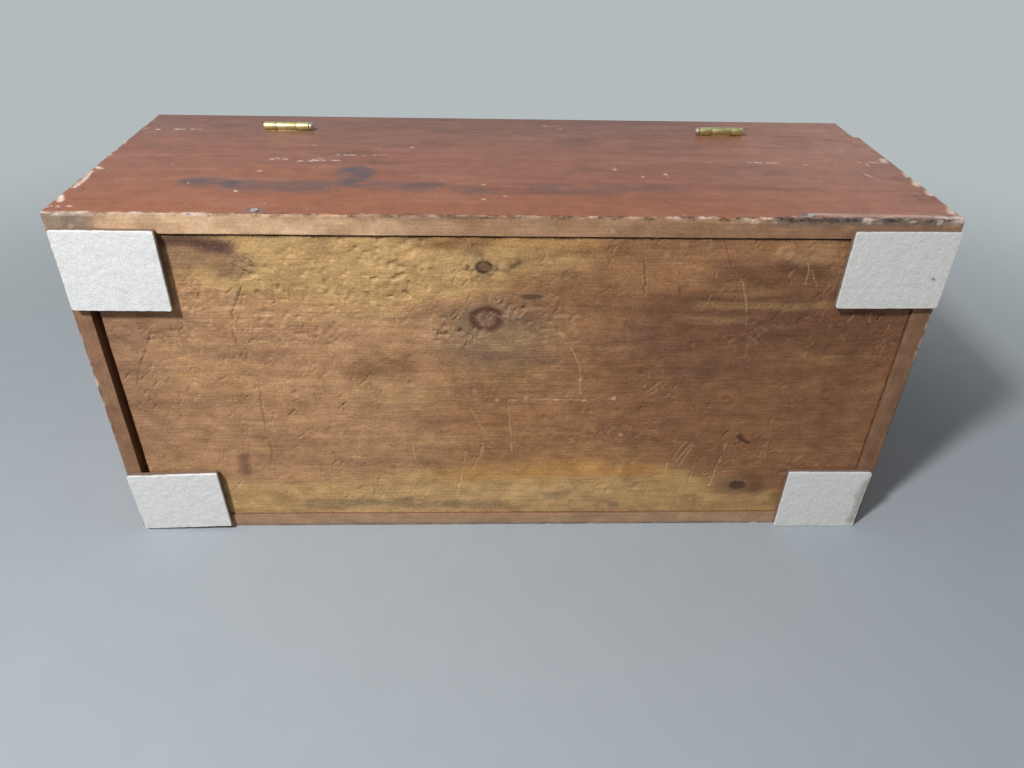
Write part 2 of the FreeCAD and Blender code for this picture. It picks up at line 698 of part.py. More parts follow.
case_hinge_screws = new_part("case_hinge_screws")
lid_hinge_screws = new_part("lid_hinge_screws")
for name, sign in (("left", -1), ("right", 1)):
    middle = size("hinge_offset") * sign
    corner = (middle, barrel_y, seam_z)
    make_leaf(f"{name}_hinge_case_leaf", corner, case_leaf_levels, [middle_span], (Z, -1))
    make_leaf(f"{name}_hinge_lid_leaf", corner, lid_leaf_levels,
              [left_span, right_span], (Z, 1))
    make_hinge_pin(f"{name}_hinge_pin", corner, -sign)
    mortises = (
        (back_board, back_corner, rim_z - "leaf_thick", case_hinge_screws, rim_z, -1),
        (lid_back_rim, lid_back_corner, lid_z, lid_hinge_screws, lid_z, 1),
    )
    for wood, wood_corner, mortise_z, screws, face_z, way in mortises:
        low = (middle - hinge_length / 2, back_y - leaf_width, mortise_z)
        add_block(wood, shifted(low, wood_corner),
                  (hinge_length, leaf_width, "leaf_thick"), cut=True)
        for side in (-1, 1):
            spot = (middle + size("hinge_screw_spread") * side, barrel_y + screw_row_y, face_z)
            add_screw(screws, spot, (Z, way), "hinge_screw")
            cut_hole(wood, shifted(spot, wood_corner), (Z, way), "hinge_screw")

# ---------------------------------------------------------------- lock

# The box lock is let into the inside of the front board; its bolt slides sideways into two
# loops that hang from the strike in the lid.
lock_half = size("lock_length") / 2
cap_half = lock_half - "lock_flange"
cap_inner = cap_half - "lock_cap_wall"
lock_front_y = front_y + "lock_cover"
lock_depth = inside_front_y - lock_front_y
lock_middle_y = lock_front_y + lock_depth / 2
lock_low_z = rim_z - "lock_height"
cap_low_z = lock_low_z + "lock_flange"
cap_depth = lock_depth - "lock_plate_thick"
top_plate_z = rim_z - "lock_plate_thick"
window_thick = size("nose_thick") + size("bolt_play") * 2
window_height = size("nose_height") + size("bolt_play") * 2
loop_width = window_thick + size("loop_frame") * 2
loop_low_z = lid_z - "loop_drop"
window_low_z = loop_low_z + "loop_frame"
bar_top_z = loop_low_z - "loop_play"
bar_low_z = bar_top_z - "bolt_height"

lock_plate = new_part("lock_plate")
add_block(lock_plate, (-lock_half, inside_front_y - "lock_plate_thick", lock_low_z),
          ("lock_length", "lock_plate_thick", "lock_height"))
add_block(lock_plate, (-lock_half, lock_front_y, top_plate_z),
          ("lock_length", lock_depth, "lock_plate_thick"))

lock_cap = new_part("lock_cap")
add_block(lock_cap, (-cap_half, lock_front_y, cap_low_z),
          (cap_half * 2, cap_depth, top_plate_z - cap_low_z))
add_block(lock_cap, (-cap_inner, lock_front_y + "lock_cap_wall", cap_low_z + "lock_cap_wall"),
          (cap_inner * 2, cap_depth - "lock_cap_wall",
           top_plate_z - cap_low_z - "lock_cap_wall"), cut=True)
for ledge_x in (-cap_inner, cap_inner - "bolt_ledge"):
    add_block(lock_cap, (ledge_x, lock_front_y, cap_low_z),
              ("bolt_ledge", cap_depth, bar_low_z - "bolt_play" - cap_low_z))

# The bolt lies drawn back, to the left, so that the lid is free.
bar_low_x = -cap_inner + "bolt_play"
bar_length = cap_inner * 2 - size("bolt_play") * 2 - "bolt_travel"
bar_thick = cap_depth - "lock_cap_wall" - size("bolt_play") * 2
nose_low_z = window_low_z + "bolt_play"
lock_bolt = new_part("lock_bolt")
add_block(lock_bolt, (bar_low_x, lock_front_y + "lock_cap_wall" + "bolt_play", bar_low_z),
          (bar_length, bar_thick, "bolt_height"))
add_block(lock_bolt, (bar_low_x + bar_length / 2 - size("talon_length") / 2,
                      lock_front_y, bar_low_z),
          ("talon_length", cap_depth, "talon_depth"), cut=True)

lock_strike = new_part("lock_strike")
add_block(lock_strike, (-lock_half, lock_front_y, lid_z),
          ("lock_length", lock_depth, "lock_plate_thick"))
for side in (-1, 1):
    loop_low_x = size("loop_spread") * side - size("loop_thick") / 2
    nose_end_x = loop_low_x - "loop_play"
    leg_high_x = nose_end_x - "bolt_travel"
    leg_low_x = leg_high_x - "nose_leg"
    nose_y = lock_middle_y - size("nose_thick") / 2
    add_block(lock_bolt, (leg_low_x, nose_y, bar_low_z),
              ("nose_leg", "nose_thick", nose_low_z + "nose_height" - bar_low_z))
    add_block(lock_bolt, (leg_low_x, nose_y, nose_low_z),
              (nose_end_x - leg_low_x, "nose_thick", "nose_height"))
    add_block(lock_strike, (loop_low_x, lock_middle_y - loop_width / 2, loop_low_z),
              ("loop_thick", loop_width, "loop_drop"))
    add_block(lock_strike, (loop_low_x, lock_middle_y - window_thick / 2, window_low_z),
              ("loop_thick", window_thick, window_height), cut=True)
    add_block(lock_plate, (loop_low_x - "loop_play",
                           lock_middle_y - loop_width / 2 - "loop_play", top_plate_z),
              (size("loop_thick") + size("loop_play") * 2,
               loop_width + size("loop_play") * 2, "lock_plate_thick"), cut=True)

# The wood round the lock and the strike.
for low, sides in (
    ((-lock_half, inside_front_y - "lock_plate_thick", lock_low_z),
     ("lock_length", "lock_plate_thick", "lock_height")),
    ((-lock_half, lock_front_y, top_plate_z), ("lock_length", lock_depth, "lock_plate_thick")),
    ((-cap_half, lock_front_y, cap_low_z), (cap_half * 2, lock_depth, rim_z - cap_low_z)),
):
    add_block(front_board, shifted(low, front_corner), sides, cut=True)
add_block(lid_front_rim, shifted((-lock_half, lock_front_y, lid_z), lid_corner),
          ("lock_length", lock_depth, "lock_plate_thick"), cut=True)

# The keyhole runs through the escutcheon, the wood and the cap.
key_z = rim_z - "keyhole_drop"
escutcheon_low_z = key_z - size("key_slot_length") / 2 - size("escutcheon_height") / 2
escutcheon_high_z = escutcheon_low_z + "escutcheon_height"
round_low_z = escutcheon_low_z + "escutcheon_radius"
round_high_z = escutcheon_high_z - "escutcheon_radius"
outer_y = front_y - "escutcheon_thick"
key_escutcheon = new_part("key_escutcheon")
for middle_z in (round_low_z, round_high_z):
    add_round(key_escutcheon, "Cylinder", (0, outer_y, middle_z), (Y, 1),
              Radius="escutcheon_radius", Height="escutcheon_thick")
add_block(key_escutcheon, (-size("escutcheon_radius"), outer_y, round_low_z),
          (size("escutcheon_radius") * 2, "escutcheon_thick", round_high_z - round_low_z))
key_depth = lock_front_y + "lock_cap_wall" - outer_y
for part, corner in ((key_escutcheon, (0, 0, 0)), (front_board, front_corner),
                     (lock_cap, (0, 0, 0))):
    add_round(part, "Cylinder", shifted((0, outer_y, key_z), corner), (Y, 1), cut=True,
              Radius="key_pin_radius", Height=key_depth)
    add_block(part, shifted((-size("key_slot_width") / 2, outer_y, key_z - "key_slot_length"),
                            corner),
              ("key_slot_width", key_depth, "key_slot_length"), cut=True)

escutcheon_pins = new_part("escutcheon_pins")
for pin_z in (escutcheon_low_z + "escutcheon_pin_margin",
              escutcheon_high_z - "escutcheon_pin_margin"):
    spot = (size(0), outer_y, pin_z)
    add_nail(escutcheon_pins, spot, (Y, 1), "escutcheon_pin")
    cut_hole(key_escutcheon, spot, (Y, 1), "escutcheon_pin")
    cut_hole(front_board, shifted(spot, front_corner), (Y, 1), "escutcheon_pin")

lock_screws = new_part("lock_screws")
lock_strike_screws = new_part("lock_strike_screws")
for side in (-1, 1):
    screw_x = (lock_half - "lock_screw_margin") * side
    for screw_z in (lock_low_z + "lock_screw_margin", top_plate_z - "lock_screw_drop"):
        spot = (screw_x, inside_front_y, screw_z)
        add_screw(lock_screws, spot, (Y, -1), "lock_screw")
        cut_countersink(lock_plate, spot, (Y, -1), "lock_screw")
        cut_hole(front_board, shifted(spot, front_corner), (Y, -1), "lock_screw")
    spot = (size("strike_screw_spread") * side, lock_middle_y, lid_z)
    add_screw(lock_strike_screws, spot, (Z, 1), "strike_screw")
    cut_countersink(lock_strike, spot, (Z, 1), "strike_screw")
    cut_hole(lid_front_rim, shifted(spot, lid_corner), (Z, 1), "strike_screw")

# ---------------------------------------------------------------- handles

handle_z = base_z + "handle_height"
plate_half_length = size("handle_plate_length") / 2
plate_half_height = size("handle_plate_height") / 2
axis_stand = size("handle_plate_thick") + "handle_stand"
lug_half = size("lug_thick") / 2
lug_outer = size("lug_spread") + lug_half
lug_bore = size("bail_radius") + "pin_clearance"


def low_along(sign, near, far):
    """The lower of two distances from an end board, measured outward along X."""
    return size(near) if sign > 0 else -size(far)


def make_handle_plate(label, corner, sign):
    """A back plate with two lugs that carry the bail; sign says which way is outward."""
    part = new_part(label, corner)
    extrude(part, X, low_along(sign, 0, "handle_plate_thick"), "handle_plate_thick",
            [rectangle((-plate_half_length, -plate_half_height),
                       (plate_half_length, plate_half_height))])
    round_edges(part, lambda edge: runs_along(edge, X), "handle_plate_corner")
    for side in (-1, 1):
        middle = size("lug_spread") * side
        add_block(part, (low_along(sign, 0, axis_stand), middle - lug_half, -size("lug_radius")),
                  (axis_stand, "lug_thick", size("lug_radius") * 2))
        add_round(part, "Cylinder", (axis_stand * sign, middle - lug_half, 0), (Y, 1),
                  Radius="lug_radius", Height="lug_thick")
        # A horn on each lug stops the bail when it stands straight out.
        horn_low_y = middle - lug_half - (size("stop_reach") if side > 0 else size(0))
        horn_low_z = size("bail_radius") + "stop_gap"
        add_block(part, (low_along(sign, 0, axis_stand + "stop_reach"), horn_low_y, horn_low_z),
                  (axis_stand + "stop_reach", size("lug_thick") + "stop_reach",
                   size("lug_radius") - horn_low_z))
    add_round(part, "Cylinder", (axis_stand * sign, -lug_outer, 0), (Y, 1), cut=True,
              Radius=lug_bore, Height=lug_outer * 2)
    return part


def add_bend(part, centre_y, centre_z, quadrant):
    """A quarter turn of the bail's bar in the YZ plane; quadrant 0 lies at +Y and +Z."""
    onto_yz = FreeCAD.Rotation(FreeCAD.Vector(1, 1, 1), 120)
    spin = FreeCAD.Rotation(FreeCAD.Vector(0, 0, 1), 90 * quadrant)
    feature = part.newObject("PartDesign::AdditiveTorus", f"{part.Label}_bend")
    feature.Placement = FreeCAD.Placement(FreeCAD.Vector(), onto_yz.multiply(spin))
    feature.setExpression("Placement.Base.y", centre_y.text)
    feature.setExpression("Placement.Base.z", centre_z.text)
    feature.setExpression("Radius1", size("bail_bend").text)
    feature.setExpression("Radius2", size("bail_radius").text)
    feature.Angle3 = 90


def make_bail(label, corner):
    """A bent bar that hangs in the lugs, its grip swelled in the middle.

    It stands at the middle of the lugs' bore."""
    part = new_part(label, corner)
    bend = size("bail_bend")
    arm_y = size("lug_spread") - lug_half - "bail_side_gap" - bend
    grip_z = -size("bail_drop")
    add_round(part, "Cylinder", (0, -arm_y + bend, grip_z), (Y, 1),
              Radius="bail_radius", Height=(arm_y - bend) * 2)
    add_round(part, "Ellipsoid", (0, 0, grip_z), (Y, 1), Radius1=size("grip_length") / 2,
              Radius2="grip_radius", Radius3="grip_radius")
    # The lower bends turn in to the grip and the upper ones out to the lugs.
    for side, lower_quadrant, upper_quadrant in ((-1, 2, 0), (1, 3, 1)):
        add_bend(part, (arm_y - bend) * side, grip_z + bend, lower_quadrant)
        add_round(part, "Cylinder", (0, arm_y * side, -bend), (Z, -1),
                  Radius="bail_radius", Height=size("bail_drop") - bend * 2)
        add_bend(part, (arm_y + bend) * side, -bend, upper_quadrant)
        add_round(part, "Cylinder", (0, (arm_y + bend) * side, 0), (Y, side),
                  Radius="bail_radius", Height=lug_outer - arm_y - bend)


handle_screws = new_part("handle_screws")
for name, sign, end_x, board, board_corner in (
    ("left", -1, left_x, left_end_board, left_corner),
    ("right", 1, right_x, right_end_board, right_corner),
):
    plate_corner = (end_x, 0, handle_z)
    plate = make_handle_plate(f"{name}_handle_plate", plate_corner, sign)
    make_bail(f"{name}_handle_bail", (end_x + axis_stand * sign, 0, handle_z))
    for across in (-1, 1):
        for up in (-1, 1):
            spot = (
                end_x + size("handle_plate_thick") * sign,
                (plate_half_length - "handle_screw_margin") * across,
                handle_z + (plate_half_height - "handle_screw_margin") * up,
            )
            add_screw(handle_screws, spot, (X, -sign), "handle_screw")
            cut_countersink(plate, shifted(spot, plate_corner), (X, -sign), "handle_screw")
            cut_hole(board, shifted(spot, board_corner), (X, -sign), "handle_screw")

# ---------------------------------------------------------------- till and its runners

till_left_x = inside_left_x + "till_end_play"
till_right_x = inside_right_x - "till_end_play"
till_back_y = inside_back_y - "till_back_play"
till_front_y = till_back_y - "till_depth"
till_top_z = rim_z - "till_drop"
till_floor_z = till_top_z - "till_height"
runner_top_z = till_floor_z - "till_bottom_thick"
till_length = till_right_x - till_left_x
side = size("till_side_thick")
till_inner_depth = size("till_depth") - side * 2
end_middle_z = till_floor_z + size("till_height") / 2

till_front_corner = (till_left_x, till_front_y, till_floor_z)
till_back_corner = (till_left_x, till_back_y - side, till_floor_z)
till_left_corner = (till_left_x, till_front_y + side, till_floor_z)
till_right_corner = (till_right_x - side, till_front_y + side, till_floor_z)
till_bottom_corner = (till_left_x, till_front_y, runner_top_z)

till_front = new_part("till_front", till_front_corner)
till_back = new_part("till_back", till_back_corner)
till_left_end = new_part("till_left_end", till_left_corner)
till_right_end = new_part("till_right_end", till_right_corner)
till_bottom = new_part("till_bottom", till_bottom_corner)
for wall in (till_front, till_back):
    add_block(wall, (0, 0, 0), (till_length, side, "till_height"))
for wall in (till_left_end, till_right_end):
    add_block(wall, (0, 0, 0), (side, till_inner_depth, "till_height"))
add_block(till_bottom, (0, 0, 0), (till_length, "till_depth", "till_bottom_thick"))

divider_height = size("till_height") - "till_divider_drop"
divider_sides = ("till_divider_thick", till_inner_depth + size("till_housing") * 2, divider_height)
for name, way in (("left", -1), ("right", 1)):
    low = (
        size("till_divider_spread") * way - size("till_divider_thick") / 2,
        till_front_y + side - "till_housing",
        till_floor_z,
    )
    divider = new_part(f"till_{name}_divider", low)
    add_block(divider, (0, 0, 0), divider_sides)
    for wall, corner in ((till_front, till_front_corner), (till_back, till_back_corner)):
        add_block(wall, shifted(low, corner), divider_sides, cut=True)

till_nails = new_part("till_nails")
for wall, corner, face_y, way in (
    (till_front, till_front_corner, till_front_y, 1),
    (till_back, till_back_corner, till_back_y, -1),
):
    for end, end_corner, nail_x in (
        (till_left_end, till_left_corner, till_left_x + side / 2),
        (till_right_end, till_right_corner, till_right_x - side / 2),
    ):
        for up in (-1, 1):
            spot = (nail_x, face_y, end_middle_z + size("till_nail_spread") * up)
            add_nail(till_nails, spot, (Y, way), "till_nail")
            cut_hole(wall, shifted(spot, corner), (Y, way), "till_nail")
            cut_hole(end, shifted(spot, end_corner), (Y, way), "till_nail")
    for across in (-1, 0, 1):
        spot = (size("till_bottom_nail_spread") * across, face_y + side / 2 * way, runner_top_z)
        add_nail(till_nails, spot, (Z, 1), "till_nail")
        cut_hole(till_bottom, shifted(spot, till_bottom_corner), (Z, 1), "till_nail")
        cut_hole(wall, shifted(spot, corner), (Z, 1), "till_nail")

till_runner_screws = new_part("till_runner_screws")
runner_low_z = runner_top_z - "runner_height"
runner_low_y = inside_front_y + "runner_end_gap"
runner_length = inside_back_y - inside_front_y - size("runner_end_gap") * 2
for name, low_x, face_x, way, board, board_corner in (
    ("left", inside_left_x, inside_left_x + "runner_width", -1, left_end_board, left_corner),
    ("right", inside_right_x - "runner_width", inside_right_x - "runner_width", 1,
     right_end_board, right_corner),
):
    low = (low_x, runner_low_y, runner_low_z)
    runner = new_part(f"{name}_till_runner", low)
    add_block(runner, (0, 0, 0), ("runner_width", runner_length, "runner_height"))
    for across in (-1, 1):
        spot = (face_x, size("runner_screw_spread") * across,
                runner_low_z + size("runner_height") / 2)
        add_screw(till_runner_screws, spot, (X, way), "runner_screw")
        cut_countersink(runner, shifted(spot, low), (X, way), "runner_screw")
        cut_hole(board, shifted(spot, board_corner), (X, way), "runner_screw")

# ---------------------------------------------------------------- check and write

doc.recompute()
for item in doc.Objects:
    if "Invalid" in item.State or "Error" in item.State:
        raise RuntimeError(f"{item.Label} failed: {item.State}")

os.makedirs("parts", exist_ok=True)
for part in parts:
    shape = part.Shape
    if shape.isNull() or not shape.isValid():
        raise RuntimeError(f"{part.Label} has no valid shape")
    shape.exportStep(f"parts/{part.Label}.step")
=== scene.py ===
"""Dresses the CAD solids of a carpenter's tool chest as worn wood, brass, iron and felt."""

import json
import math

import bmesh
import bpy
import numpy as np
from bpy.props import FloatProperty, FloatVectorProperty, PointerProperty
from mathutils import Matrix, Vector

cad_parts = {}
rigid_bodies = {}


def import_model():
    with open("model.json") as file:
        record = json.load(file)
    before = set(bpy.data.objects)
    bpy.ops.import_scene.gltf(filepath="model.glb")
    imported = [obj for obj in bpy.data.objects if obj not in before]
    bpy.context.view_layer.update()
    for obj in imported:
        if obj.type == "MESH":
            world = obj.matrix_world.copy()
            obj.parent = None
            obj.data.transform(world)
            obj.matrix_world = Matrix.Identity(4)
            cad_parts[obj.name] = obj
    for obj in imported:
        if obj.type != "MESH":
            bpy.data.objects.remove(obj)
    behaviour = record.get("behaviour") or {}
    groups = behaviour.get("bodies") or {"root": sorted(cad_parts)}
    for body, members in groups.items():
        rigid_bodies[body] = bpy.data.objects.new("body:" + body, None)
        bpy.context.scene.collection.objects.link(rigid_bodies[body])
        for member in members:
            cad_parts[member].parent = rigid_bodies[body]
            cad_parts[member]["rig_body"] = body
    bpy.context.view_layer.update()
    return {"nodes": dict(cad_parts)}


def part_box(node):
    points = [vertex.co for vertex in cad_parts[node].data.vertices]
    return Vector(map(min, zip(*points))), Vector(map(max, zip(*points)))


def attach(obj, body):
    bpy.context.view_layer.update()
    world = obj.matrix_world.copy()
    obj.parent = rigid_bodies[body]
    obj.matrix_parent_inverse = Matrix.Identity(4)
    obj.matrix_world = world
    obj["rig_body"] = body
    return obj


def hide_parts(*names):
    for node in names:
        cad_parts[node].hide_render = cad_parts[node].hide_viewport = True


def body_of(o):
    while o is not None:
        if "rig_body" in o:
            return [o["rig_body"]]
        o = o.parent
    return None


bl_info = {
    "name": "Carpenter's Tool Chest",
    "version": (1, 0, 0),
    "blender": (4, 5, 0),
    "location": "3D View > Sidebar > Chest",
    "description": "Dresses the solids of a tool chest as worn wood, brass, iron and felt",
    "category": "Object",
}

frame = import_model()

X, Y, Z = range(3)
MM = 0.001
TINY = 1e-9  # keeps a length of zero from being divided by
WELD = 1e-6  # metres within which split corners are one
FLAT = math.radians(1)  # faces that turn less than this between them are one flat face
CRISP = math.radians(30)  # edges that turn more than this are eased
SHARP = math.radians(38)  # edges that turn more than this stay sharp in the shading
ON_PLANE = 0.02  # mm within which a point counts as lying on a face
RIM = 0.7  # mm of narrow rim laid along every arris and joint, so that they can wear and darken
NEAR_ARRIS = (1.6, 3.2)  # mm from an arris at which extra cuts are made
LATTICE = 32  # bumps after which the noise repeats

# Each board of case and lid: the way of its grain, the mm between the cuts of its mesh, finest on
# the back where the camera looks, and the seed of its wear.
CASE_BOARDS = {
    "back_board": (X, (1.35, 1.5, 1.9), 100),
    "front_board": (X, (3.2, 2.4, 3.2), 140),
    "left_end_board": (Y, (2.4, 3.0, 3.0), 180),
    "right_end_board": (Y, (2.4, 3.0, 3.0), 220),
}
LID_BOARDS = {
    "lid_top": (X, (3.2, 3.2, 2.6), 300),
    "lid_front_rim": (X, (3.2, 3.2, 2.6), 340),
    "lid_back_rim": (X, (3.2, 3.2, 2.6), 380),
    "lid_left_rim": (Y, (3.2, 3.2, 2.6), 420),
    "lid_right_rim": (Y, (3.2, 3.2, 2.6), 460),
}
# Each board of the till: the way of its grain.
TILL_BOARDS = {
    "till_front": X, "till_back": X, "till_left_end": Y, "till_right_end": Y,
    "till_bottom": X, "till_left_divider": Y, "till_right_divider": Y,
}
PADS = ("felt_pad_front_left", "felt_pad_front_right", "felt_pad_back_left", "felt_pad_back_right")


def tint(code):
    """A linear colour with full alpha from an sRGB hex code."""
    parts = [int(code[at:at + 2], 16) / 255 for at in (1, 3, 5)]
    linear = [part / 12.92 if part <= 0.04045 else ((part + 0.055) / 1.055) ** 2.4
              for part in parts]
    return (*linear, 1.0)


def swatch(name, description, code):
    """A colour setting whose default is an sRGB hex code."""
    return FloatVectorProperty(name=name, description=description, subtype="COLOR", size=4,
                               min=0, max=1, default=tint(code))


def measure(name, description, mm):
    """A length setting whose default is given in millimetres."""
    return FloatProperty(
        name=name, description=description, unit="LENGTH", precision=5, min=0, default=mm * MM)


class ChestWood(bpy.types.PropertyGroup):
    """Colours and wear of the boards."""

    varnish_low: swatch("Varnish, low", "Warm varnish near the foot of the case", "#96593a")
    # The greyer, more mauve upper and lid colours are partly a painted sheen.
    varnish_high_and_sheen: swatch("Varnish, high", "Duller varnish on the upper case", "#925c46")
    varnish_lid_and_sheen: swatch("Varnish, lid", "The dullest varnish, on the lid", "#865a4c")
    varnish_faded: swatch("Varnish, faded", "Bleached varnish at the right of the back", "#b57f6b")
    varnish_streak: swatch("Varnish streak", "Dark streaks of grain under the varnish", "#5e3629")
    bare_wood: swatch("Bared wood", "Wood where the varnish is chipped or rubbed off", "#e8d2c4")
    grime: swatch("Grime", "Dirt in joints, dents and cracks", "#382a24")
    soot: swatch("Soot", "Grey stains rubbed into the back", "#55464a")
    inside: swatch("Unvarnished mahogany", "The inside faces of case and lid", "#936646")
    edge_gold: swatch("Raw edge, clean", "Clean wood on the lower edges of the walls", "#e0bb94")
    edge_brown: swatch("Raw edge, brown", "Handled wood on the lower edges of the walls", "#a27a5b")
    edge_grime: swatch("Raw edge, dirty", "Grey dirt on the lower edges of the walls", "#6f655f")
    arris: measure("Arris radius", "How far the outer arrises are worn round", 0.9)
    chip: measure("Chip depth", "How deep the worst chips along the arrises go", 2.0)
    ripple: measure("Plane ripple", "Hollows left by the hand plane", 0.22)


class ChestPine(bpy.types.PropertyGroup):
    """Colours and wear of the bottom board and the till."""

    ochre: swatch("Pine, ochre", "The yellow bands of the bottom board", "#c9a46d")
    tan: swatch("Pine, tan", "The left half of the bottom board", "#be926a")
    russet: swatch("Pine, russet", "The reddish middle of the bottom board", "#a97b54")
    umber: swatch("Pine, umber", "The brown right half of the bottom board", "#946849")
    chestnut: swatch("Pine, chestnut", "The dark upper right of the bottom board", "#7a533c")
    honey: swatch("Pine, honey", "The orange part of the lower band", "#c69054")
    olive: swatch("Pine, olive", "Greyed wood round the large knot and in the stains", "#8b745c")
    plum: swatch("Pine, plum", "Purple-brown stains", "#765248")
    latewood: swatch("Latewood", "Dark lines of grain in the bottom board", "#7d5636")
    scratch: swatch("Scratch", "Pale bruised fibres along scratches", "#dfba92")
    knot: swatch("Knot", "Dark knots and open cracks", "#402a1e")
    knot_ring: swatch("Knot ring", "Red-brown bark round the large knot", "#58342a")
    till_pine: swatch("Till pine", "Clean planed pine of the till", "#c9a577")
    till_line: swatch("Till pine grain", "Lines of grain in the till", "#a97a4a")
    oak: swatch("Oak", "The till's runners", "#9b7a52")
    oak_line: swatch("Oak grain", "Open grain of the runners", "#6d5031")


class ChestMetal(bpy.types.PropertyGroup):
    """Colours of the brass, steel and iron fittings."""

    brass: swatch("Brass, polished", "Rubbed brass of hinges and lock", "#e6dba4")
    brass_dull: swatch("Brass, tarnished", "Brown tarnish in the corners of the brass", "#a09257")
    steel: swatch("Steel", "Drawn steel of the hinge pins and screws", "#b9b2a2")
    iron: swatch("Japanned iron", "Black baked lacquer on the lifting handles", "#1c1a19")
    rust: swatch("Rust", "Brown rust on nails and at worn lacquer", "#6b4632")
    # The nail heads' pale grey is partly a painted glint.
    nail: swatch("Nail iron", "Rubbed heads of cut nails", "#c2beb8")


class ChestFelt(bpy.types.PropertyGroup):
    """Colours and form of the felt pads."""

    felt: swatch("Felt", "Off-white pressed wool", "#eceeed")
    felt_shade: swatch("Felt hollow", "Slightly darker hollows between the wool's lumps", "#e4e6e5")
    felt_dirt: swatch("Felt dirt", "Grey-brown dirt rubbed into the felt", "#85766a")
    # The pads' brown sides are partly painted shade, partly glue.
    felt_glue_and_shade: swatch("Felt glue line", "Brown glue soaked into the pad's sides", "#6b4d3a")
    lump: measure("Lump height", "How uneven the felt's face is", 0.2)
    soft_edge: measure("Edge radius", "How far the free edges of the felt are rounded", 0.4)


class ChestStage(bpy.types.PropertyGroup):
    """Floor, background and lamps."""

    floor: swatch("Floor", "Plain pale floor", "#a5adb3")
    backdrop: swatch("Backdrop", "Plain pale background", "#b4bbbd")
    fill: FloatProperty(
        name="Fill", description="Strength of the even light from all round", default=0.27, min=0)
    key_power: FloatProperty(
        name="Key power", description="Power of each soft lamp", unit="POWER", default=23, min=0)
    key_size: measure("Key size", "Width of each soft lamp", 150)


# --- mathematics of wear ---------------------------------------------------------------------


def ramp(value, start, end):
    """A smooth rise from 0 at start to 1 at end, or a fall where end is the lower."""
    part = np.clip((value - start) / (end - start), 0, 1)
    return part * part * (3 - 2 * part)


def lattice_noise(points, size, seed):
    """Smooth noise from -1 to 1 with bumps about size mm across, seeded."""
    table = np.random.default_rng(seed).uniform(-1, 1, (LATTICE,) * 3)
    where = points / np.asarray(size, float)
    cell = np.floor(where).astype(int)
    part = where - cell
    part = part * part * (3 - 2 * part)
    total = np.zeros(len(points))
    for corner in np.ndindex(2, 2, 2):
        weight = np.prod(np.where(corner, part, 1 - part), axis=1)
        at = (cell + corner) % LATTICE
        total += weight * table[at[:, 0], at[:, 1], at[:, 2]]
    return total


def cloud(points, size, seed, octaves=3):
    """Several sizes of lattice noise added up, each half the size and half the strength."""
    size = np.asarray(size, float)
    return sum(lattice_noise(points, size / 2**step, seed + step) / 2**step
               for step in range(octaves))


def wobble(points, size, seed):
    """Three numbers from -1 to 1 for each point, to shake it out of line by."""
    return np.stack([lattice_noise(points, size, seed + at) for at in (1, 2, 3)], axis=1)


def cover(points, route, width):
    """How strongly a stroke along route covers each point: 1 on its line, 0 at width from it."""
    route = np.atleast_2d(np.asarray(route, float))
    amount = np.zeros(len(points))
    near = np.all((points > route.min(0) - width) & (points < route.max(0) + width), axis=1)
    spots = points[near]
    if len(route) == 1:
        route = np.vstack([route, route])
    gap = np.full(len(spots), np.inf)
    for start, end in zip(route, route[1:]):
        run = end - start
        along = np.clip((spots - start) @ run / max(run @ run, TINY), 0, 1)
        gap = np.minimum(gap, np.linalg.norm(spots - start - along[:, None] * run, axis=1))
    amount[near] = np.clip(1 - gap / width, 0, 1)
    return amount


def finder(points):
    """A function that quickly gives the numbers of the points whose x is near a route."""
    order = np.argsort(points[:, X])
    rising = points[order, X]

    def near(route, reach):
        places = np.atleast_2d(route)[:, X]
        first, last = np.searchsorted(rising, (places.min() - reach, places.max() + reach))
        return order[first:last]

    return near


def wandering(rng, low, high, longest, lean=None):
    """A short stroke of three points on the patch from low to high, in any way or along lean."""
    start = rng.uniform(low, high)
    flat = np.asarray(high) - np.asarray(low) > 0
    way = rng.normal(size=3) * flat if lean is None else np.asarray(lean, float)
    way = way / np.linalg.norm(way) * longest * rng.uniform(0.15, 1)
    bend = rng.normal(size=3) * flat * np.linalg.norm(way) * 0.06
    return np.array([start, start + way / 2 + bend, start + way])


def on_level(route, level):
    """The points in space of a route that is given as (x, y) at one height."""
    return [(x, y, level) for x, y in route]


def mixed(colours, other, amount):
    """Colours moved towards another colour by an amount for each point."""
    return colours + (np.asarray(other) - colours) * np.asarray(amount)[:, None]


# --- mesh tools ------------------------------------------------------------------------------


def span(*nodes):
    """The lowest and highest corners of CAD nodes together, in mm."""
    corners = np.array([[list(corner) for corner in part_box(node)] for node in nodes]) / MM
    return corners[:, 0].min(0), corners[:, 1].max(0)


CASE = span(*CASE_BOARDS)
LID = span(*LID_BOARDS)


def whole_mesh(node):
    """A CAD node's mesh with its split corners welded and its flat faces whole again."""
    sheet = bmesh.new()
    sheet.from_mesh(frame["nodes"][node].data)
    bmesh.ops.remove_doubles(sheet, verts=sheet.verts, dist=WELD)
    bmesh.ops.dissolve_limit(sheet, angle_limit=FLAT, verts=sheet.verts, edges=sheet.edges)
    sheet.normal_update()
    return sheet


def as_mesh(sheet, name):
    """A mesh of the given name from a sheet that is done with."""
    mesh = bpy.data.meshes.new(name)
    sheet.to_mesh(mesh)
    sheet.free()
    return mesh


def ease(sheet, edges, width, segments, profile):
    """Round edges over with a bevel, its width in metres."""
    bmesh.ops.bevel(sheet, geom=edges, offset=width, offset_type="OFFSET", segments=segments,
                    profile=profile, affect="EDGES", clamp_overlap=True)


def is_crisp(edge):
    """Whether two faces turn sharply at an edge."""
    return edge.is_manifold and edge.calc_face_angle(0) > CRISP


def side_of(face, box):
    """Which side of box a face lies on, as (axis, 0 or 1), or None for an inner face."""
    centre = face.calc_center_median()
    for axis in (X, Y, Z):
        side = int(face.normal[axis] > 0)
        if abs(face.normal[axis]) > 0.99 and abs(centre[axis] / MM - box[side][axis]) < ON_PLANE:
            return axis, side
    return None


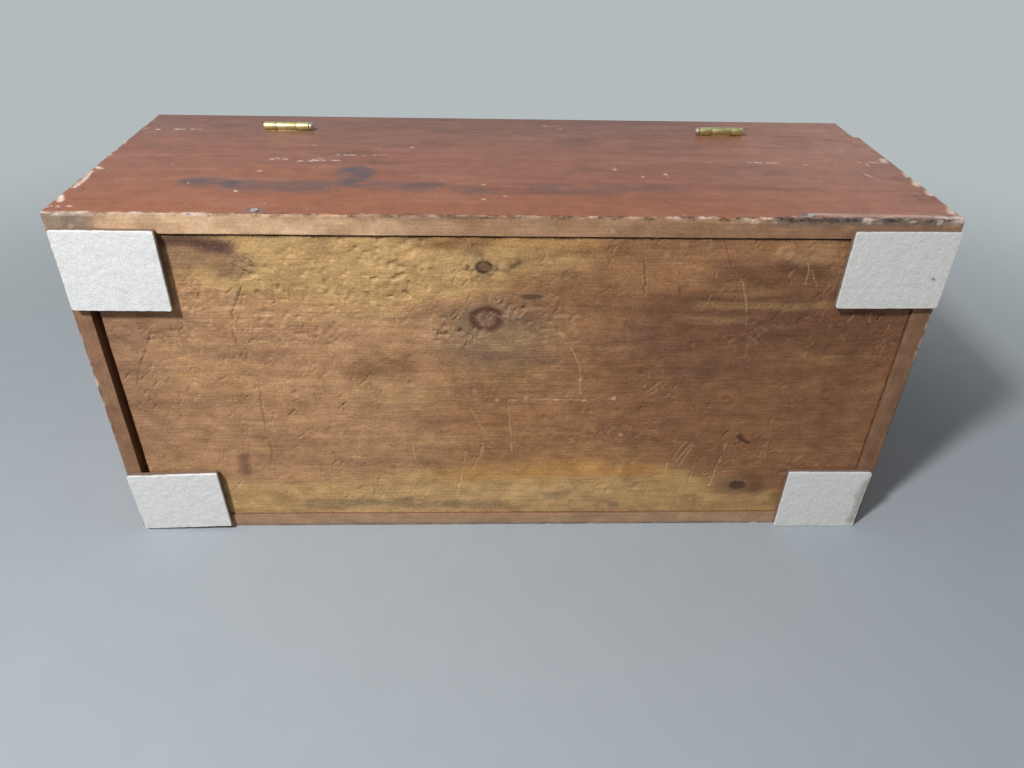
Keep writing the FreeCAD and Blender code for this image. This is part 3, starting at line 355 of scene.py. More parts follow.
def cut_faces(sheet, faces, axis, places):
    """Cut faces by planes square to an axis, at rising places in mm, and return all their parts."""
    square = Vector(np.eye(3)[axis])
    done = []
    rest = list(faces)
    for place in places:
        parts = rest + list({edge for face in rest for edge in face.edges})
        parts += list({corner for face in rest for corner in face.verts})
        cut = bmesh.ops.bisect_plane(
            sheet, geom=parts, dist=WELD / 10, plane_co=square * place * MM, plane_no=square)
        faces = [part for part in cut["geom"] if isinstance(part, bmesh.types.BMFace)]
        rest = [face for face in faces if face.calc_center_median()[axis] > place * MM]
        beyond = set(rest)
        done += [face for face in faces if face not in beyond]
    return done + rest


def cut_places(low, high, box, axis, step):
    """Where to cut a board along an axis: extra places near the box's arrises, then even steps."""
    first, last = box[0][axis], box[1][axis]
    near = [first + gap for gap in NEAR_ARRIS] + [last - gap for gap in NEAR_ARRIS]
    inner_first, inner_last = first + NEAR_ARRIS[-1], last - NEAR_ARRIS[-1]
    count = max(2, round((inner_last - inner_first) / step))
    places = sorted(set(near) | set(np.linspace(inner_first, inner_last, count + 1)[1:-1]))
    return [place for place in places if low + ON_PLANE < place < high - ON_PLANE]


def gridded(node, box, steps):
    """A board whose faces on the outside of box are cut into small squares, with a narrow rim."""
    sheet = whole_mesh(node)
    groups = {}
    for face in sheet.faces:
        side = side_of(face, box)
        if side:
            groups.setdefault(side, []).append(face)
    faces = []
    for group in groups.values():
        rim = bmesh.ops.inset_region(
            sheet, faces=group, thickness=RIM * MM, use_even_offset=True, use_boundary=True)
        faces += group + rim["faces"]
    low, high = span(node)
    for axis in (X, Y, Z):
        places = cut_places(low[axis], high[axis], box, axis, steps[axis])
        faces = cut_faces(sheet, faces, axis, places)
    sheet.normal_update()
    return sheet


def joint_corners(sheet, box):
    """1 at every corner where an outside face meets an inner one, and 0 elsewhere."""
    outer = {face for face in sheet.faces if side_of(face, box)}
    marks = np.zeros(len(sheet.verts))
    for at, corner in enumerate(sheet.verts):
        kinds = {face in outer for face in corner.link_faces}
        marks[at] = len(kinds) == 2
    return marks


def mesh_points(mesh):
    """A mesh's points in mm."""
    flat = np.empty(len(mesh.vertices) * 3)
    mesh.vertices.foreach_get("co", flat)
    return flat.reshape(-1, 3) / MM


def move_points(mesh, points):
    """Put a mesh's points at new places, given in mm."""
    mesh.vertices.foreach_set("co", (points * MM).ravel())
    mesh.update()


def paint(mesh, name, values):
    """Keep one number or one colour for each point of a mesh, for a finish to read."""
    if values.ndim == 1:
        mesh.attributes.new(name, "FLOAT", "POINT").data.foreach_set("value", values)
    else:
        mesh.attributes.new(name, "FLOAT_COLOR", "POINT").data.foreach_set("color", values.ravel())


def show(mesh, node, finishes, suffix="worn"):
    """Make a mesh the piece that stands for a CAD node and moves with its body."""
    for finish in finishes:
        mesh.materials.append(finish)
    mesh.shade_smooth()
    mesh.set_sharp_from_angle(angle=SHARP)
    piece = bpy.data.objects.new(f"{node}_{suffix}", mesh)
    bpy.context.scene.collection.objects.link(piece)
    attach(piece, body_of(frame["nodes"][node])[0])
    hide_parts(node)
    return piece


def rounded(points, box, radius):
    """Points outside a box's rounded arrises moved in onto them, with a radius for each point."""
    radius = radius[:, None]
    core = np.clip(points, box[0] + radius, box[1] - radius)
    out = points - core
    length = np.linalg.norm(out, axis=1, keepdims=True)
    return np.where(length > radius, core + out * radius / np.maximum(length, TINY), points)


def sunk(points, box, depth):
    """Points on a box's sides moved straight in by a depth for each point and side."""
    moved = points.copy()
    for axis in (X, Y, Z):
        for side in (0, 1):
            here = np.abs(points[:, axis] - box[side][axis]) < ON_PLANE
            moved[here, axis] += depth[axis, side][here] * (1 if side == 0 else -1)
    return moved


def eased(node, finish, width):
    """A fitting or small board, its crisp edges eased by a width in mm, for its CAD node."""
    sheet = whole_mesh(node)
    ease(sheet, [edge for edge in sheet.edges if is_crisp(edge)], width * MM, 2, 0.6)
    return show(as_mesh(sheet, node), node, [finish], "eased")


# --- finishes --------------------------------------------------------------------------------


def add(tree, kind, inputs=(), **settings):
    """Add a node, set it up, and give each of its inputs a value or a link."""
    node = tree.nodes.new("ShaderNode" + kind)
    for name, value in settings.items():
        setattr(node, name, value)
    for key, value in dict(inputs).items():
        if isinstance(value, bpy.types.NodeSocket):
            tree.links.new(value, node.inputs[key])
        else:
            node.inputs[key].default_value = value
    return node


def bare_tree(owner):
    """The emptied node tree of a material or a world."""
    owner.use_nodes = True
    owner.node_tree.nodes.clear()
    return owner.node_tree


def start_finish(name):
    """A new empty finish: the material, its node tree and its shader."""
    material = bpy.data.materials.new(name)
    tree = bare_tree(material)
    shader = add(tree, "BsdfPrincipled")
    add(tree, "OutputMaterial", {"Surface": shader.outputs["BSDF"]})
    return material, tree, shader


def grain_scale(along, long_mm, wide_mm):
    """Noise scale per metre for figure that is long_mm along the grain and wide_mm across it."""
    scale = [1 / (wide_mm * MM)] * 3
    scale[along] = 1 / (long_mm * MM)
    return scale


def wood(name, along, base, streak, streaks, line, gloss, relief, line_depth=0.12, mottle=0.06,
         coat=0.0, painted=None, pale=None, dark=None, pore=None, flow=False):
    """A wood finish with its grain along one axis.

    base is a colour, or painted names the attribute that holds one. streak is the grain's dark
    colour, and streaks its strength. line is the spacing of the grain's lines in mm, drawn at about
    twice the real 0.5 to 1 mm so that it shows. gloss is the lowest and highest roughness, relief
    the depth of the pores in mm. pale and dark are the colours that the attributes of those names
    bring in, pore the colour of open pores, and flow tells that the flow attribute bends the grain.
    """
    material, tree, shader = start_finish(name)
    place = along_grain = add(tree, "TexCoord").outputs["Object"]
    if flow:
        parts = add(tree, "SeparateXYZ", {0: place})
        bent = add(tree, "Attribute", attribute_name="flow").outputs["Fac"]
        along_grain = add(tree, "CombineXYZ", {0: parts.outputs[0], 1: bent, 2: parts.outputs[2]})
        along_grain = along_grain.outputs[0]
    # Pores are 0.2 mm wide and rubbed-in dust is finer; both are drawn about 1 mm wide, to show.
    figure = {}
    for key, source, long_mm, wide_mm, detail in (
        ("broad", along_grain, 300, 18, 5), ("medium", along_grain, 110, 5, 4),
        ("fine", along_grain, 30, line * 0.8, 3), ("pore", along_grain, 5, 0.9, 2),
        ("patch", place, 12, 9, 5), ("grit", place, 1.6, 1.4, 2),
    ):
        spot = add(tree, "Mapping", {0: source, 3: grain_scale(along, long_mm, wide_mm)}).outputs[0]
        figure[key] = add(tree, "TexNoise", {
            "Vector": spot, "Scale": 1.0, "Detail": detail, "Distortion": 0.3}).outputs["Fac"]
    if painted:
        colour = add(tree, "Attribute", attribute_name=painted).outputs["Color"]
    else:
        colour = add(tree, "RGB").outputs[0]
        colour.default_value = base
    for key, last, share in (("broad", 0.72, 1.0), ("medium", 0.75, 0.8)):
        bands = add(tree, "MapRange", {
            0: figure[key], 1: 0.45, 2: last, 3: 0.0, 4: streaks * share}).outputs[0]
        colour = add(tree, "Mix", {0: bands, 6: colour, 7: streak}, data_type="RGBA").outputs[2]
    for key, depth in (("fine", line_depth), ("patch", mottle), ("grit", mottle)):
        shade = add(tree, "MapRange", {
            0: figure[key], 1: 0.3, 2: 0.7, 3: 1.0 + depth, 4: 1.0 - depth}).outputs[0]
        colour = add(tree, "Mix", {0: 1.0, 6: colour, 7: shade}, data_type="RGBA",
                     blend_type="MULTIPLY").outputs[2]
    if pore:
        holes = add(tree, "MapRange", {
            0: figure["pore"], 1: 0.6, 2: 0.72, 3: 0.0, 4: 0.4}).outputs[0]
        colour = add(tree, "Mix", {0: holes, 6: colour, 7: pore}, data_type="RGBA").outputs[2]
    rough = add(tree, "MapRange", {0: figure["medium"], 1: 0.3, 2: 0.7, 3: gloss[0], 4: gloss[1]})
    rough = rough.outputs[0]
    for mark, other in (("pale", pale), ("dark", dark)):
        if other:
            amount = add(tree, "Attribute", attribute_name=mark).outputs["Fac"]
            frayed = add(tree, "MapRange", {0: figure["grit"], 1: 0.35, 2: 0.65, 3: 0.5, 4: 1.4})
            amount = add(tree, "Math", {0: amount, 1: frayed.outputs[0]}, operation="MULTIPLY",
                         use_clamp=True).outputs[0]
            colour = add(tree, "Mix", {0: amount, 6: colour, 7: other}, data_type="RGBA").outputs[2]
            rough = add(tree, "Mix", {0: amount, 2: rough, 3: 0.8}).outputs[0]
    height = add(tree, "Math", {0: figure["fine"], 1: figure["grit"]}, operation="ADD").outputs[0]
    bump = add(tree, "Bump", {"Strength": 0.7, "Distance": relief * MM, "Height": height})
    shader.inputs["Coat Weight"].default_value = coat
    shader.inputs["Coat Roughness"].default_value = 0.42
    shader.inputs["IOR"].default_value = 1.5
    tree.links.new(colour, shader.inputs["Base Color"])
    tree.links.new(rough, shader.inputs["Roughness"])
    tree.links.new(bump.outputs[0], shader.inputs["Normal"])
    return material


def metal(name, clean, dull, cover_up, patch, gloss, metallic=1.0, coat=0.0, relief=0.02):
    """A metal or lacquered finish: clean, with dull patches some mm wide and scratches along x."""
    material, tree, shader = start_finish(name)
    place = add(tree, "TexCoord").outputs["Object"]
    patches = add(tree, "TexNoise", {"Vector": place, "Scale": 1 / (patch * MM), "Detail": 5.0,
                                     "Roughness": 0.62}).outputs["Fac"]
    # Emery scratches are 0.05 mm wide; they are drawn 0.45 mm wide so that they show.
    spot = add(tree, "Mapping", {0: place, 3: grain_scale(X, 7.0, 0.45)}).outputs[0]
    lines = add(tree, "TexNoise", {"Vector": spot, "Scale": 1.0, "Detail": 2.0}).outputs["Fac"]
    amount = add(tree, "MapRange", {0: patches, 1: 0.42, 2: 0.7, 3: 0.0, 4: cover_up}).outputs[0]
    colour = add(tree, "Mix", {0: amount, 6: clean, 7: dull}, data_type="RGBA").outputs[2]
    rough = add(tree, "MapRange", {0: patches, 1: 0.35, 2: 0.7, 3: gloss[0], 4: gloss[1]})
    height = add(tree, "Math", {0: patches, 1: lines}, operation="ADD").outputs[0]
    bump = add(tree, "Bump", {"Strength": 0.5, "Distance": relief * MM, "Height": height})
    shader.inputs["Metallic"].default_value = metallic
    shader.inputs["Coat Weight"].default_value = coat
    tree.links.new(colour, shader.inputs["Base Color"])
    tree.links.new(rough.outputs[0], shader.inputs["Roughness"])
    tree.links.new(bump.outputs[0], shader.inputs["Normal"])
    return material


def wool_felt(look):
    """Pressed wool felt: matt, off-white and finely pilled, with flecks, rubbed-in dirt, and brown
    sides that are partly painted shade.
    """
    material, tree, shader = start_finish("Pressed wool felt")
    place = add(tree, "TexCoord").outputs["Object"]
    # Wool fibre is 0.03 mm thick; its tufts are drawn 1.8 mm across so that they show.
    tufts, lumps, specks = (
        add(tree, "TexNoise", {"Vector": place, "Scale": 1 / (wide * MM), "Detail": detail,
                               "Roughness": roughness}).outputs["Fac"]
        for wide, detail, roughness in ((1.8, 4.0, 0.7), (9.0, 4.0, 0.7), (3.1, 1.0, 0.5)))
    shaded = add(tree, "MapRange", {0: lumps, 1: 0.35, 2: 0.65, 3: 1.0, 4: 0.0}).outputs[0]
    grain = add(tree, "MapRange", {0: tufts, 1: 0.3, 2: 0.7, 3: 0.9, 4: 1.06}).outputs[0]
    fleck = add(tree, "MapRange", {0: specks, 1: 0.76, 2: 0.82, 3: 0.0, 4: 0.35}).outputs[0]
    dirt = add(tree, "Attribute", attribute_name="dark").outputs["Fac"]
    dirt = add(tree, "Math", {0: fleck, 1: dirt}, operation="MAXIMUM").outputs[0]
    # Brown on the pad's sides: partly painted shade, partly glue and dirt.
    glue = add(tree, "Attribute", attribute_name="glue").outputs["Fac"]
    colour = tuple(look.felt)
    for amount, other, blend in ((shaded, tuple(look.felt_shade), "MIX"), (1.0, grain, "MULTIPLY"),
                                 (dirt, tuple(look.felt_dirt), "MIX"),
                                 (glue, tuple(look.felt_glue_and_shade), "MIX")):
        colour = add(tree, "Mix", {0: amount, 6: colour, 7: other}, data_type="RGBA",
                     blend_type=blend).outputs[2]
    bump = add(tree, "Bump", {"Strength": 0.8, "Distance": 0.5 * MM, "Height": tufts})
    shader.inputs["Roughness"].default_value = 0.95
    shader.inputs["Specular IOR Level"].default_value = 0.2
    shader.inputs["Sheen Weight"].default_value = 0.1
    tree.links.new(colour, shader.inputs["Base Color"])
    tree.links.new(bump.outputs[0], shader.inputs["Normal"])
    return material


def board_finishes(wood_look, along):
    """The four finishes of a mahogany board: varnished face, end grain, raw lower edge, inside."""
    axis = "XYZ"[along]
    names = [f"Varnished mahogany along {axis}", f"Varnished end grain {axis}",
             f"Raw worn edge along {axis}", f"Planed mahogany along {axis}"]
    if names[0] in bpy.data.materials:
        return [bpy.data.materials[name] for name in names]
    look = {key: tuple(getattr(wood_look, key)) for key in (
        "varnish_streak", "bare_wood", "grime", "inside", "edge_brown")}
    # The chest's ends, which hands and knees rub at each lift, have lost most of their gloss.
    satin, rubbed = {"gloss": (0.46, 0.6), "coat": 0.3}, {"gloss": (0.66, 0.8), "coat": 0.06}
    face_gloss, end_gloss = (rubbed, satin) if along == Y else (satin, rubbed)
    # Old shellac varnish, rubbed: a soft satin reflection over faintly streaky reddish wood.
    face = wood(names[0], along, None, look["varnish_streak"], streaks=0.08, line=2.4,
                line_depth=0.05, mottle=0.12, painted="tone", pale=look["bare_wood"],
                dark=look["grime"], relief=0.08, **face_gloss)
    # End grain drinks the varnish: darker, duller, and speckled with open pores.
    across = (along + 1) % 3
    end = wood(names[1], across, None, look["varnish_streak"], streaks=0.22, line=1.2,
               line_depth=0.1, mottle=0.1, painted="tone", pale=look["bare_wood"],
               dark=look["grime"], pore=look["grime"], relief=0.12, **end_gloss)
    # The lower edges never had varnish: rough, dented and dirty.
    edge = wood(names[2], along, None, look["edge_brown"], streaks=0.3, line=2.0, line_depth=0.1,
                mottle=0.13, gloss=(0.7, 0.85), painted="edge_tone", pale=look["bare_wood"],
                dark=look["grime"], relief=0.16)
    # Inside, the planed wood was left dry.
    inside = wood(names[3], along, look["inside"], look["varnish_streak"], streaks=0.3, line=2.0,
                  gloss=(0.6, 0.75), dark=look["grime"], pore=look["grime"], relief=0.06)
    return [face, end, edge, inside]


# --- the boards of case and lid ----------------------------------------------------------------

FACE, END, RAW, INSIDE = range(4)  # the order of a board's finishes

BACK = CASE[1][Y]
FOOT = CASE[0][Z]
SEAM = LID[0][Z]  # where the lid meets the case
SEAM_GAP = 2  # mm from the seam within which a level face belongs to it
SEAM_KEPT = (3, 9)  # mm from the seam over which the wear comes in, so that the lid still fits
SEAM_ROUND = 0.35  # mm of rounding along the seam
MARK_AREA = 2600  # mm2 of varnish for each small dent
LONG_SCAR = 16  # mm that the longest random scar runs
SMALL_DENT = 2  # mm that the longest random dent runs
ROUNDING = (0.3, 3)  # mm of rounding on the sharpest and on the most worn arris

# Marks on the back: (x, height above the foot) points in mm, half width in mm, strength.
BACK_CHIPS = (
    (((133, 121), (124, 120), (112, 121)), 1.2, 0.9),
    (((104, 121), (95, 122)), 1.2, 0.8),
    (((182, 110), (176, 111), (170, 110)), 1.3, 0.9),
    (((160, 105), (146, 107), (130, 108)), 1.4, 0.9),
    (((150, 110), (138, 112)), 1.2, 0.6),
    (((155, 143), (154, 144)), 1.4, 0.8),
    (((140, 132), (141, 134)), 1.3, 0.9),
    (((70, 165), (71, 164)), 1.3, 0.8),
    (((77, 140), (76, 142)), 1.3, 0.8),
    (((185, 82), (183, 83)), 1.4, 0.9),
    (((49, 66), (50, 67)), 1.3, 0.8),
    (((-118, 84), (-118, 78), (-114, 82)), 1.5, 0.9),
    (((-150, 98), (-151, 100)), 1.4, 0.8),
    (((-190, 113), (-214, 113)), 1.3, 0.8),
    (((-150, 112), (-170, 112)), 1.2, 0.6),
    (((-233, 110), (-235, 112)), 1.5, 0.8),
    (((-255, 106), (-256, 107)), 1.5, 0.8),
    (((-272, 88), (-280, 74)), 1.6, 0.6),
    (((-283, 113), (-282, 105)), 1.3, 0.7),
    (((-301, 124), (-299, 118)), 3.4, 1.0),
    (((-278, 117), (-300, 116)), 1.8, 0.8),
    (((-305, 92), (-303, 84)), 2.4, 0.9),
    (((-305, 76), (-302, 66)), 3.2, 1.0),
    (((-305, 54), (-303, 46)), 3.4, 1.0),
    (((-305, 22), (-301, 12)), 3.2, 0.9),
    (((-305, 4), (-297, 2), (-290, 3)), 5.0, 1.0),
    (((303, 87), (299, 83)), 2.2, 0.9),
    (((304, 78), (301, 62), (302, 45)), 2.4, 0.8),
    (((304, 30), (300, 20)), 2.4, 0.9),
    (((305, 10), (290, 10)), 1.4, 0.7),
    (((303, 184), (286, 182), (273, 183), (256, 183)), 1.9, 1.0),
    (((-205, 8), (-240, 6), (-292, 6)), 3.2, 0.4),
)
BACK_STAINS = (
    (((117, 86), (112, 62)), 12, 0.95),
    (((104, 84), (106, 76)), 8, 0.7),
    (((100, 58), (78, 52), (58, 54)), 12, 0.5),
    (((226, 58), (200, 54)), 11, 0.75),
    (((196, 53), (170, 49), (132, 51)), 14, 0.6),
    (((36, 50), (15, 42)), 8, 0.4),
    (((-20, 50), (-60, 54), (-120, 52)), 12, 0.4),
    (((-285, 3), (-296, 4)), 5, 0.5),
)
NAIL_HEADS = (169, -201)  # x in mm of the nails driven through the back's foot
NAIL_HEIGHT = 5  # mm of those nails above the foot


def arris_gap(points, box):
    """Each point's distance in mm from the nearest arris of its box."""
    to_sides = np.minimum(points - box[0], box[1] - points)
    return np.sort(to_sides, axis=1)[:, 1]


def foot_gap(points):
    """Each point's distance in mm from the arris where the back meets its raw lower edge."""
    return np.abs(BACK - points[:, Y]) + np.abs(points[:, Z] - FOOT)


def on_raw_edge(points):
    """Which points lie on the lower edges of the walls, rough as they are."""
    return points[:, Z] < FOOT + 1


def at_height(route):
    """The points in space of a route that is given as (x, height above the foot) on the back."""
    return [(x, BACK, FOOT + height) for x, height in route]


def wall_wear(points, joints, box, seed):
    """Where a board's varnish is gone (pale), where it is dirty (dark), and its dents in mm."""
    rng = np.random.default_rng(seed)
    warped = points + 0.8 * wobble(points, 5, seed)
    pale, dark, dent = np.zeros((3, len(points)))
    # Each side that the board has a part of gets long scars and small dents at random.
    for axis in (X, Y, Z):
        for side in (0, 1):
            low, high = box[0].copy(), box[1].copy()
            low[axis] = high[axis] = box[side][axis]
            if not np.any(np.abs(points[:, axis] - low[axis]) < ON_PLANE):
                continue
            count = int(np.prod(np.delete(high - low, axis)) / MARK_AREA)
            for turn in range(count // 2):
                route = wandering(rng, low, high, LONG_SCAR)
                mark = cover(warped, route, rng.uniform(0.8, 1.3))
                strength = rng.uniform(0.0, 0.2)
                if turn % 3:
                    pale = np.maximum(pale, mark * strength)
                else:
                    dark = np.maximum(dark, mark * strength)
                dent = np.maximum(dent, mark * 0.3)
            for _ in range(count):
                spot = wandering(rng, low, high, SMALL_DENT)
                mark = cover(warped, spot, rng.uniform(1.0, 2.2))
                dent = np.maximum(dent, mark * rng.uniform(0.15, 0.5))
                pale = np.maximum(pale, (mark > 0.5) * rng.uniform(-0.5, 0.8))
    # The arrises are worn pale in stretches and dirty between them, and the joints are dark.
    gap = arris_gap(points, box)
    clear_of_seam = ramp(np.abs(points[:, Z] - SEAM), *SEAM_KEPT)
    worn = ramp(gap + 0.5 * lattice_noise(points, 5, seed + 8), 1.8, 0.4) * clear_of_seam
    stretch = ramp(cloud(points, 70, seed + 10), -0.5, 0.4)
    chipped = ramp(cloud(points, 6.5, seed + 9), 0.0, 0.6)
    pale = np.maximum(pale, 0.95 * worn * stretch * chipped)
    dirty = ramp(cloud(points, 7.5, seed + 11), 0.1, 0.6)
    dark = np.maximum(dark, 0.6 * worn * dirty)
    dark = np.maximum(dark, 0.2 * joints * ramp(cloud(points, 25, seed + 12), -0.9, 0.1))
    dark = np.maximum(dark, 0.22 * ramp(cloud(points, (60, 60, 20), seed + 14), 0.5, 1.1))
    return pale, dark, dent


def varnish_colours(look, points):
    """The varnish colour at each point of case or lid."""
    x, y, z = points.T
    # The varnish is warm at the foot, greyer and more mauve above and most on the lid, partly a
    # painted sheen, and faded to the right.
    height = z - FOOT + 16 * cloud(points, (150, 150, 40), 51) + 9 * cloud(points, (90, 90, 12), 53)
    tone = np.tile(np.array(look.varnish_low), (len(points), 1))
    tone = mixed(tone, look.varnish_high_and_sheen, ramp(height, 20, 105))
    tone = mixed(tone, look.varnish_lid_and_sheen, ramp(height, 120, 215))
    to_right = ramp(x + 30 * cloud(points, (60, 60, 20), 55), -110, -290)
    # The fade grows with height, partly as a painted sheen.
    tone = mixed(tone, look.varnish_faded, (0.5 + 0.3 * ramp(height, 90, 150)) * to_right)
    tone = mixed(tone, look.varnish_streak, 0.32 * ramp(cloud(points, (60, 60, 12), 57), 0.1, 1.0))
    tone = mixed(tone, look.varnish_faded, 0.22 * ramp(cloud(points, (45, 45, 10), 58), 0.2, 1.0))
    ragged = cloud(points, (13, 13, 8), 75, 4)
    for route, width, strength in BACK_STAINS:
        mark = cover(points, at_height(route), 1.25 * width)
        tone = mixed(tone, look.soot, strength * ramp(mark * (1 + 1.1 * ragged), 0.0, 0.8))
    # Dirt has splashed up at the foot's right end and runs out round the nails.
    fray = cloud(points, (9, 5, 5), 63)
    splashed = ramp(x + 25 * fray, -160, -220) * ramp(foot_gap(points) + 1.5 * fray, 3, 1)
    tone = mixed(tone, look.edge_grime, 0.8 * splashed)
    for nail in NAIL_HEADS:
        away = np.hypot(x - nail, (z - FOOT - NAIL_HEIGHT) * 1.3) + 1.2 * fray
        away += np.where(y < BACK - 1, 30, 0)
        tone = mixed(tone, look.edge_grime, 0.7 * ramp(away, 8.5, 4.5))
    return tone


def raw_edge_colours(look, points):
    """The colour of the raw lower edges at each point of case or lid."""
    x, y = points[:, X], points[:, Y]
    # Clean and golden at the back's left, brown elsewhere.
    edge = np.tile(np.array(look.edge_brown), (len(points), 1))
    at_back = ramp(y, 118, 126)
    mottle = ramp(cloud(points, (14, 8, 8), 61), -0.7, 0.6)
    clean = at_back * ramp(x + 30 * cloud(points, (40, 40, 40), 62), 10, 190)
    edge = mixed(edge, look.edge_gold, clean * (0.55 + 0.45 * mottle) + (1 - clean) * 0.15 * mottle)
    streaky = ramp(cloud(points, (18, 18, 8), 65), -0.3, 0.8)
    edge = mixed(edge, look.varnish_streak, 0.4 * (1 - at_back) * streaky)
    # The front strip is dirty on its outside and the ends' strips are brown.
    front_dirt = ramp(y, -125, -128) * ramp(y - 2 * cloud(points, 9, 66), -131, -137)
    edge = mixed(edge, look.edge_grime, 0.4 * front_dirt)
    end_strip = ramp(np.abs(x), 286, 294) * (1 - at_back)
    edge = mixed(edge, look.varnish_streak, end_strip * np.where(x > 0, 0.34, 0.5))
    front_strip = ramp(y, -120, -126) * (1 - end_strip)
    edge = mixed(edge, look.inside, 0.3 * front_strip)
    edge = mixed(edge, look.edge_gold, 0.35 * front_strip)
    edge = mixed(edge, look.edge_grime, front_strip * (0.12 + 0.35 * ramp(y, -135.5, -138.5)))
    # The back strip is browned in parts, and dirty to the right and at its left corner.
    browned = ramp(x, -50, -130) * ramp(y, 137, 134)
    browned += 0.8 * ramp(y, 134.5, 137) * ramp(x, 175, 140) * ramp(x, 0, 40)
    edge = mixed(edge, look.varnish_streak, 0.25 * at_back * browned)
    fray = cloud(points, (9, 5, 5), 63)
    dirty = ramp(x + 25 * fray, -150, -215) * at_back
    dirty *= ramp(foot_gap(points) + 2.2 * fray, 6.5, 3.5)
    corner = ramp(x + 8 * fray, 266, 284) * ramp(y, 118, 128)
    corner *= ramp(cloud(points, 8, 64), -1.6, -0.1)
    return mixed(edge, look.edge_grime, np.maximum(0.8 * dirty, 0.75 * corner))


def back_marks(points, pale, dark, dent):
    """The chips that belong to the back and its crusted foot, laid over the general wear."""
    warped = points + 0.7 * wobble(points, 4, 70)
    crumbs = ramp(lattice_noise(points, (3.0, 3.0, 3.4), 74), -0.25, 0.2)
    for route, width, strength in BACK_CHIPS:
        mark = cover(warped, at_height(route), width)
        mark *= crumbs if width < 2 else 1
        np.maximum(pale, np.minimum(1, mark * 2) * strength, out=pale)
        np.maximum(dent, 0.35 * mark, out=dent)
    x = points[:, X]
    fleck, flake = cloud(points, (4, 3, 3), 76), cloud(points, (7, 3, 3), 77)
    left, right = ramp(x, 150, 230), ramp(x, -90, -180)
    # Broken varnish stands as a crust along the foot: mostly pale to the left, half of it black to
    # the right. The pale flecks are partly a painted glint along the arris.
    crust = ramp((foot_gap(points) + 0.9 * fleck) / (1 + 0.7 * right), 2.6, 1.0)
    flaked_and_glint = (0.3 + 0.65 * left + 0.55 * right) * ramp(flake, 0.35 - 0.9 * left, 0.6)
    blackened = (0.55 - 0.35 * left + 0.2 * right) * ramp(-flake, 0.0, 0.3)
    np.maximum(pale, crust * flaked_and_glint, out=pale)
    np.maximum(dark, crust * blackened, out=dark)
    # Below it the fibres are torn.
    fibres = ramp(lattice_noise(points, (2.4, 8, 8), 78), 0.2, 0.6) * ramp(foot_gap(points), 9, 2.5)
    torn = on_raw_edge(points) * fibres * ramp(cloud(points, (26, 26, 26), 79), -0.4, 0.4)
    np.maximum(dark, 0.2 * torn, out=dark)
    np.maximum(dent, 0.3 * torn, out=dent)


def worn_board(look, node, along, box, steps, seed):
    """Cut, wear, paint and show one mahogany board."""
    sheet = gridded(node, box, steps)
    joints = joint_corners(sheet, box)
    for face in sheet.faces:
        side = side_of(face, box)
        if side is None or (side[0] == Z and abs(box[side[1]][Z] - SEAM) < SEAM_GAP):
            face.material_index = INSIDE
        elif side == (Z, 0):
            face.material_index = RAW
        else:
            face.material_index = END if side[0] == along else FACE
    mesh = as_mesh(sheet, node)
    points = mesh_points(mesh)
    pale, dark, dent = wall_wear(points, joints, box, seed)
    back_marks(points, pale, dark, dent)
    for name, values in (("tone", varnish_colours(look, points)),
                         ("edge_tone", raw_edge_colours(look, points)),
                         ("pale", pale), ("dark", dark)):
        paint(mesh, name, values)

    ripple = look.ripple / MM
    depth = np.zeros((3, 2, len(points)))
    depth[:] = ripple * (0.5 + 0.5 * lattice_noise(points, (90, 90, 34), 5)) + dent
    clear_of_seam = ramp(np.abs(points[:, Z] - SEAM), *SEAM_KEPT)
    depth[Z] *= clear_of_seam
    rough_edge = 0.25 + 0.22 * cloud(points, 8, 15) + 0.5 * ramp(cloud(points, 16, 17), 0.5, 1.1)
    rough_edge = np.clip(rough_edge + 0.6 * dent, 0, 0.9)
    depth[Z, 0] = np.where(on_raw_edge(points), rough_edge, depth[Z, 0])
    moved = sunk(points, box, depth)
    arris, chip = look.arris / MM, look.chip / MM
    radius = arris * (1 + 0.4 * cloud(points, 30, 21))
    radius += chip * ramp(cloud(points, 9, 25), 0.55, 1.2)
    radius = SEAM_ROUND + (np.clip(radius, *ROUNDING) - SEAM_ROUND) * clear_of_seam
    move_points(mesh, rounded(moved, box, radius))
    return show(mesh, node, board_finishes(look, along))


class CHEST_OT_case_boards(bpy.types.Operator):
    """Weather and varnish the four walls of the case"""

    bl_idname = "chest.case_boards"
    bl_label = "Case walls"

    def execute(self, context):
        for node, (along, steps, seed) in CASE_BOARDS.items():
            worn_board(context.scene.chest_wood, node, along, CASE, steps, seed)
        return {"FINISHED"}


class CHEST_OT_lid_boards(bpy.types.Operator):
    """Weather and varnish the lid's top and rim"""

    bl_idname = "chest.lid_boards"
    bl_label = "Lid"

    def execute(self, context):
        for node, (along, steps, seed) in LID_BOARDS.items():
            worn_board(context.scene.chest_wood, node, along, LID, steps, seed)
        return {"FINISHED"}


# --- the bottom board --------------------------------------------------------------------------

BOTTOM_STEPS = (0.92, 0.92, 4)  # mm between the cuts of its mesh
# Knots as (x, y, radius along the grain, radius across it) in mm, how dark, and how pale in the
# middle.
KNOTS = (
    (16.8, 60.8, 10.5, 9, 0.9, 0.55),
    (18.5, 101.7, 5.5, 4.2, 0.95, 0.3),
    (-16, 78.5, 7, 1.9, 0.6, 0),
    (-194, -98, 6, 4, 0.75, 0),
)

# Open cracks and gouges as (x, y) points in mm.
CRACKS = (
    ((186, 85), (196, 65), (198, 45), (193, 22)),
    ((186, 27), (183, 15), (187, 0), (188, -45), (186, -75)),
    ((256, 48), (262, 35), (270, 22), (277, 0)),
    ((181, 108), (176, 104)),
    ((177, 101), (169, 94)),
    ((187, 111), (183, 106)),
    ((190, 103), (184, 99)),
    ((182, 98), (178, 95)),
    ((-92, 108), (-94, 92), (-95, 75)),
    ((-114, 122), (-117, 100), (-120, 80)),
    ((-145, 122), (-149, 112), (-153, 102)),
)
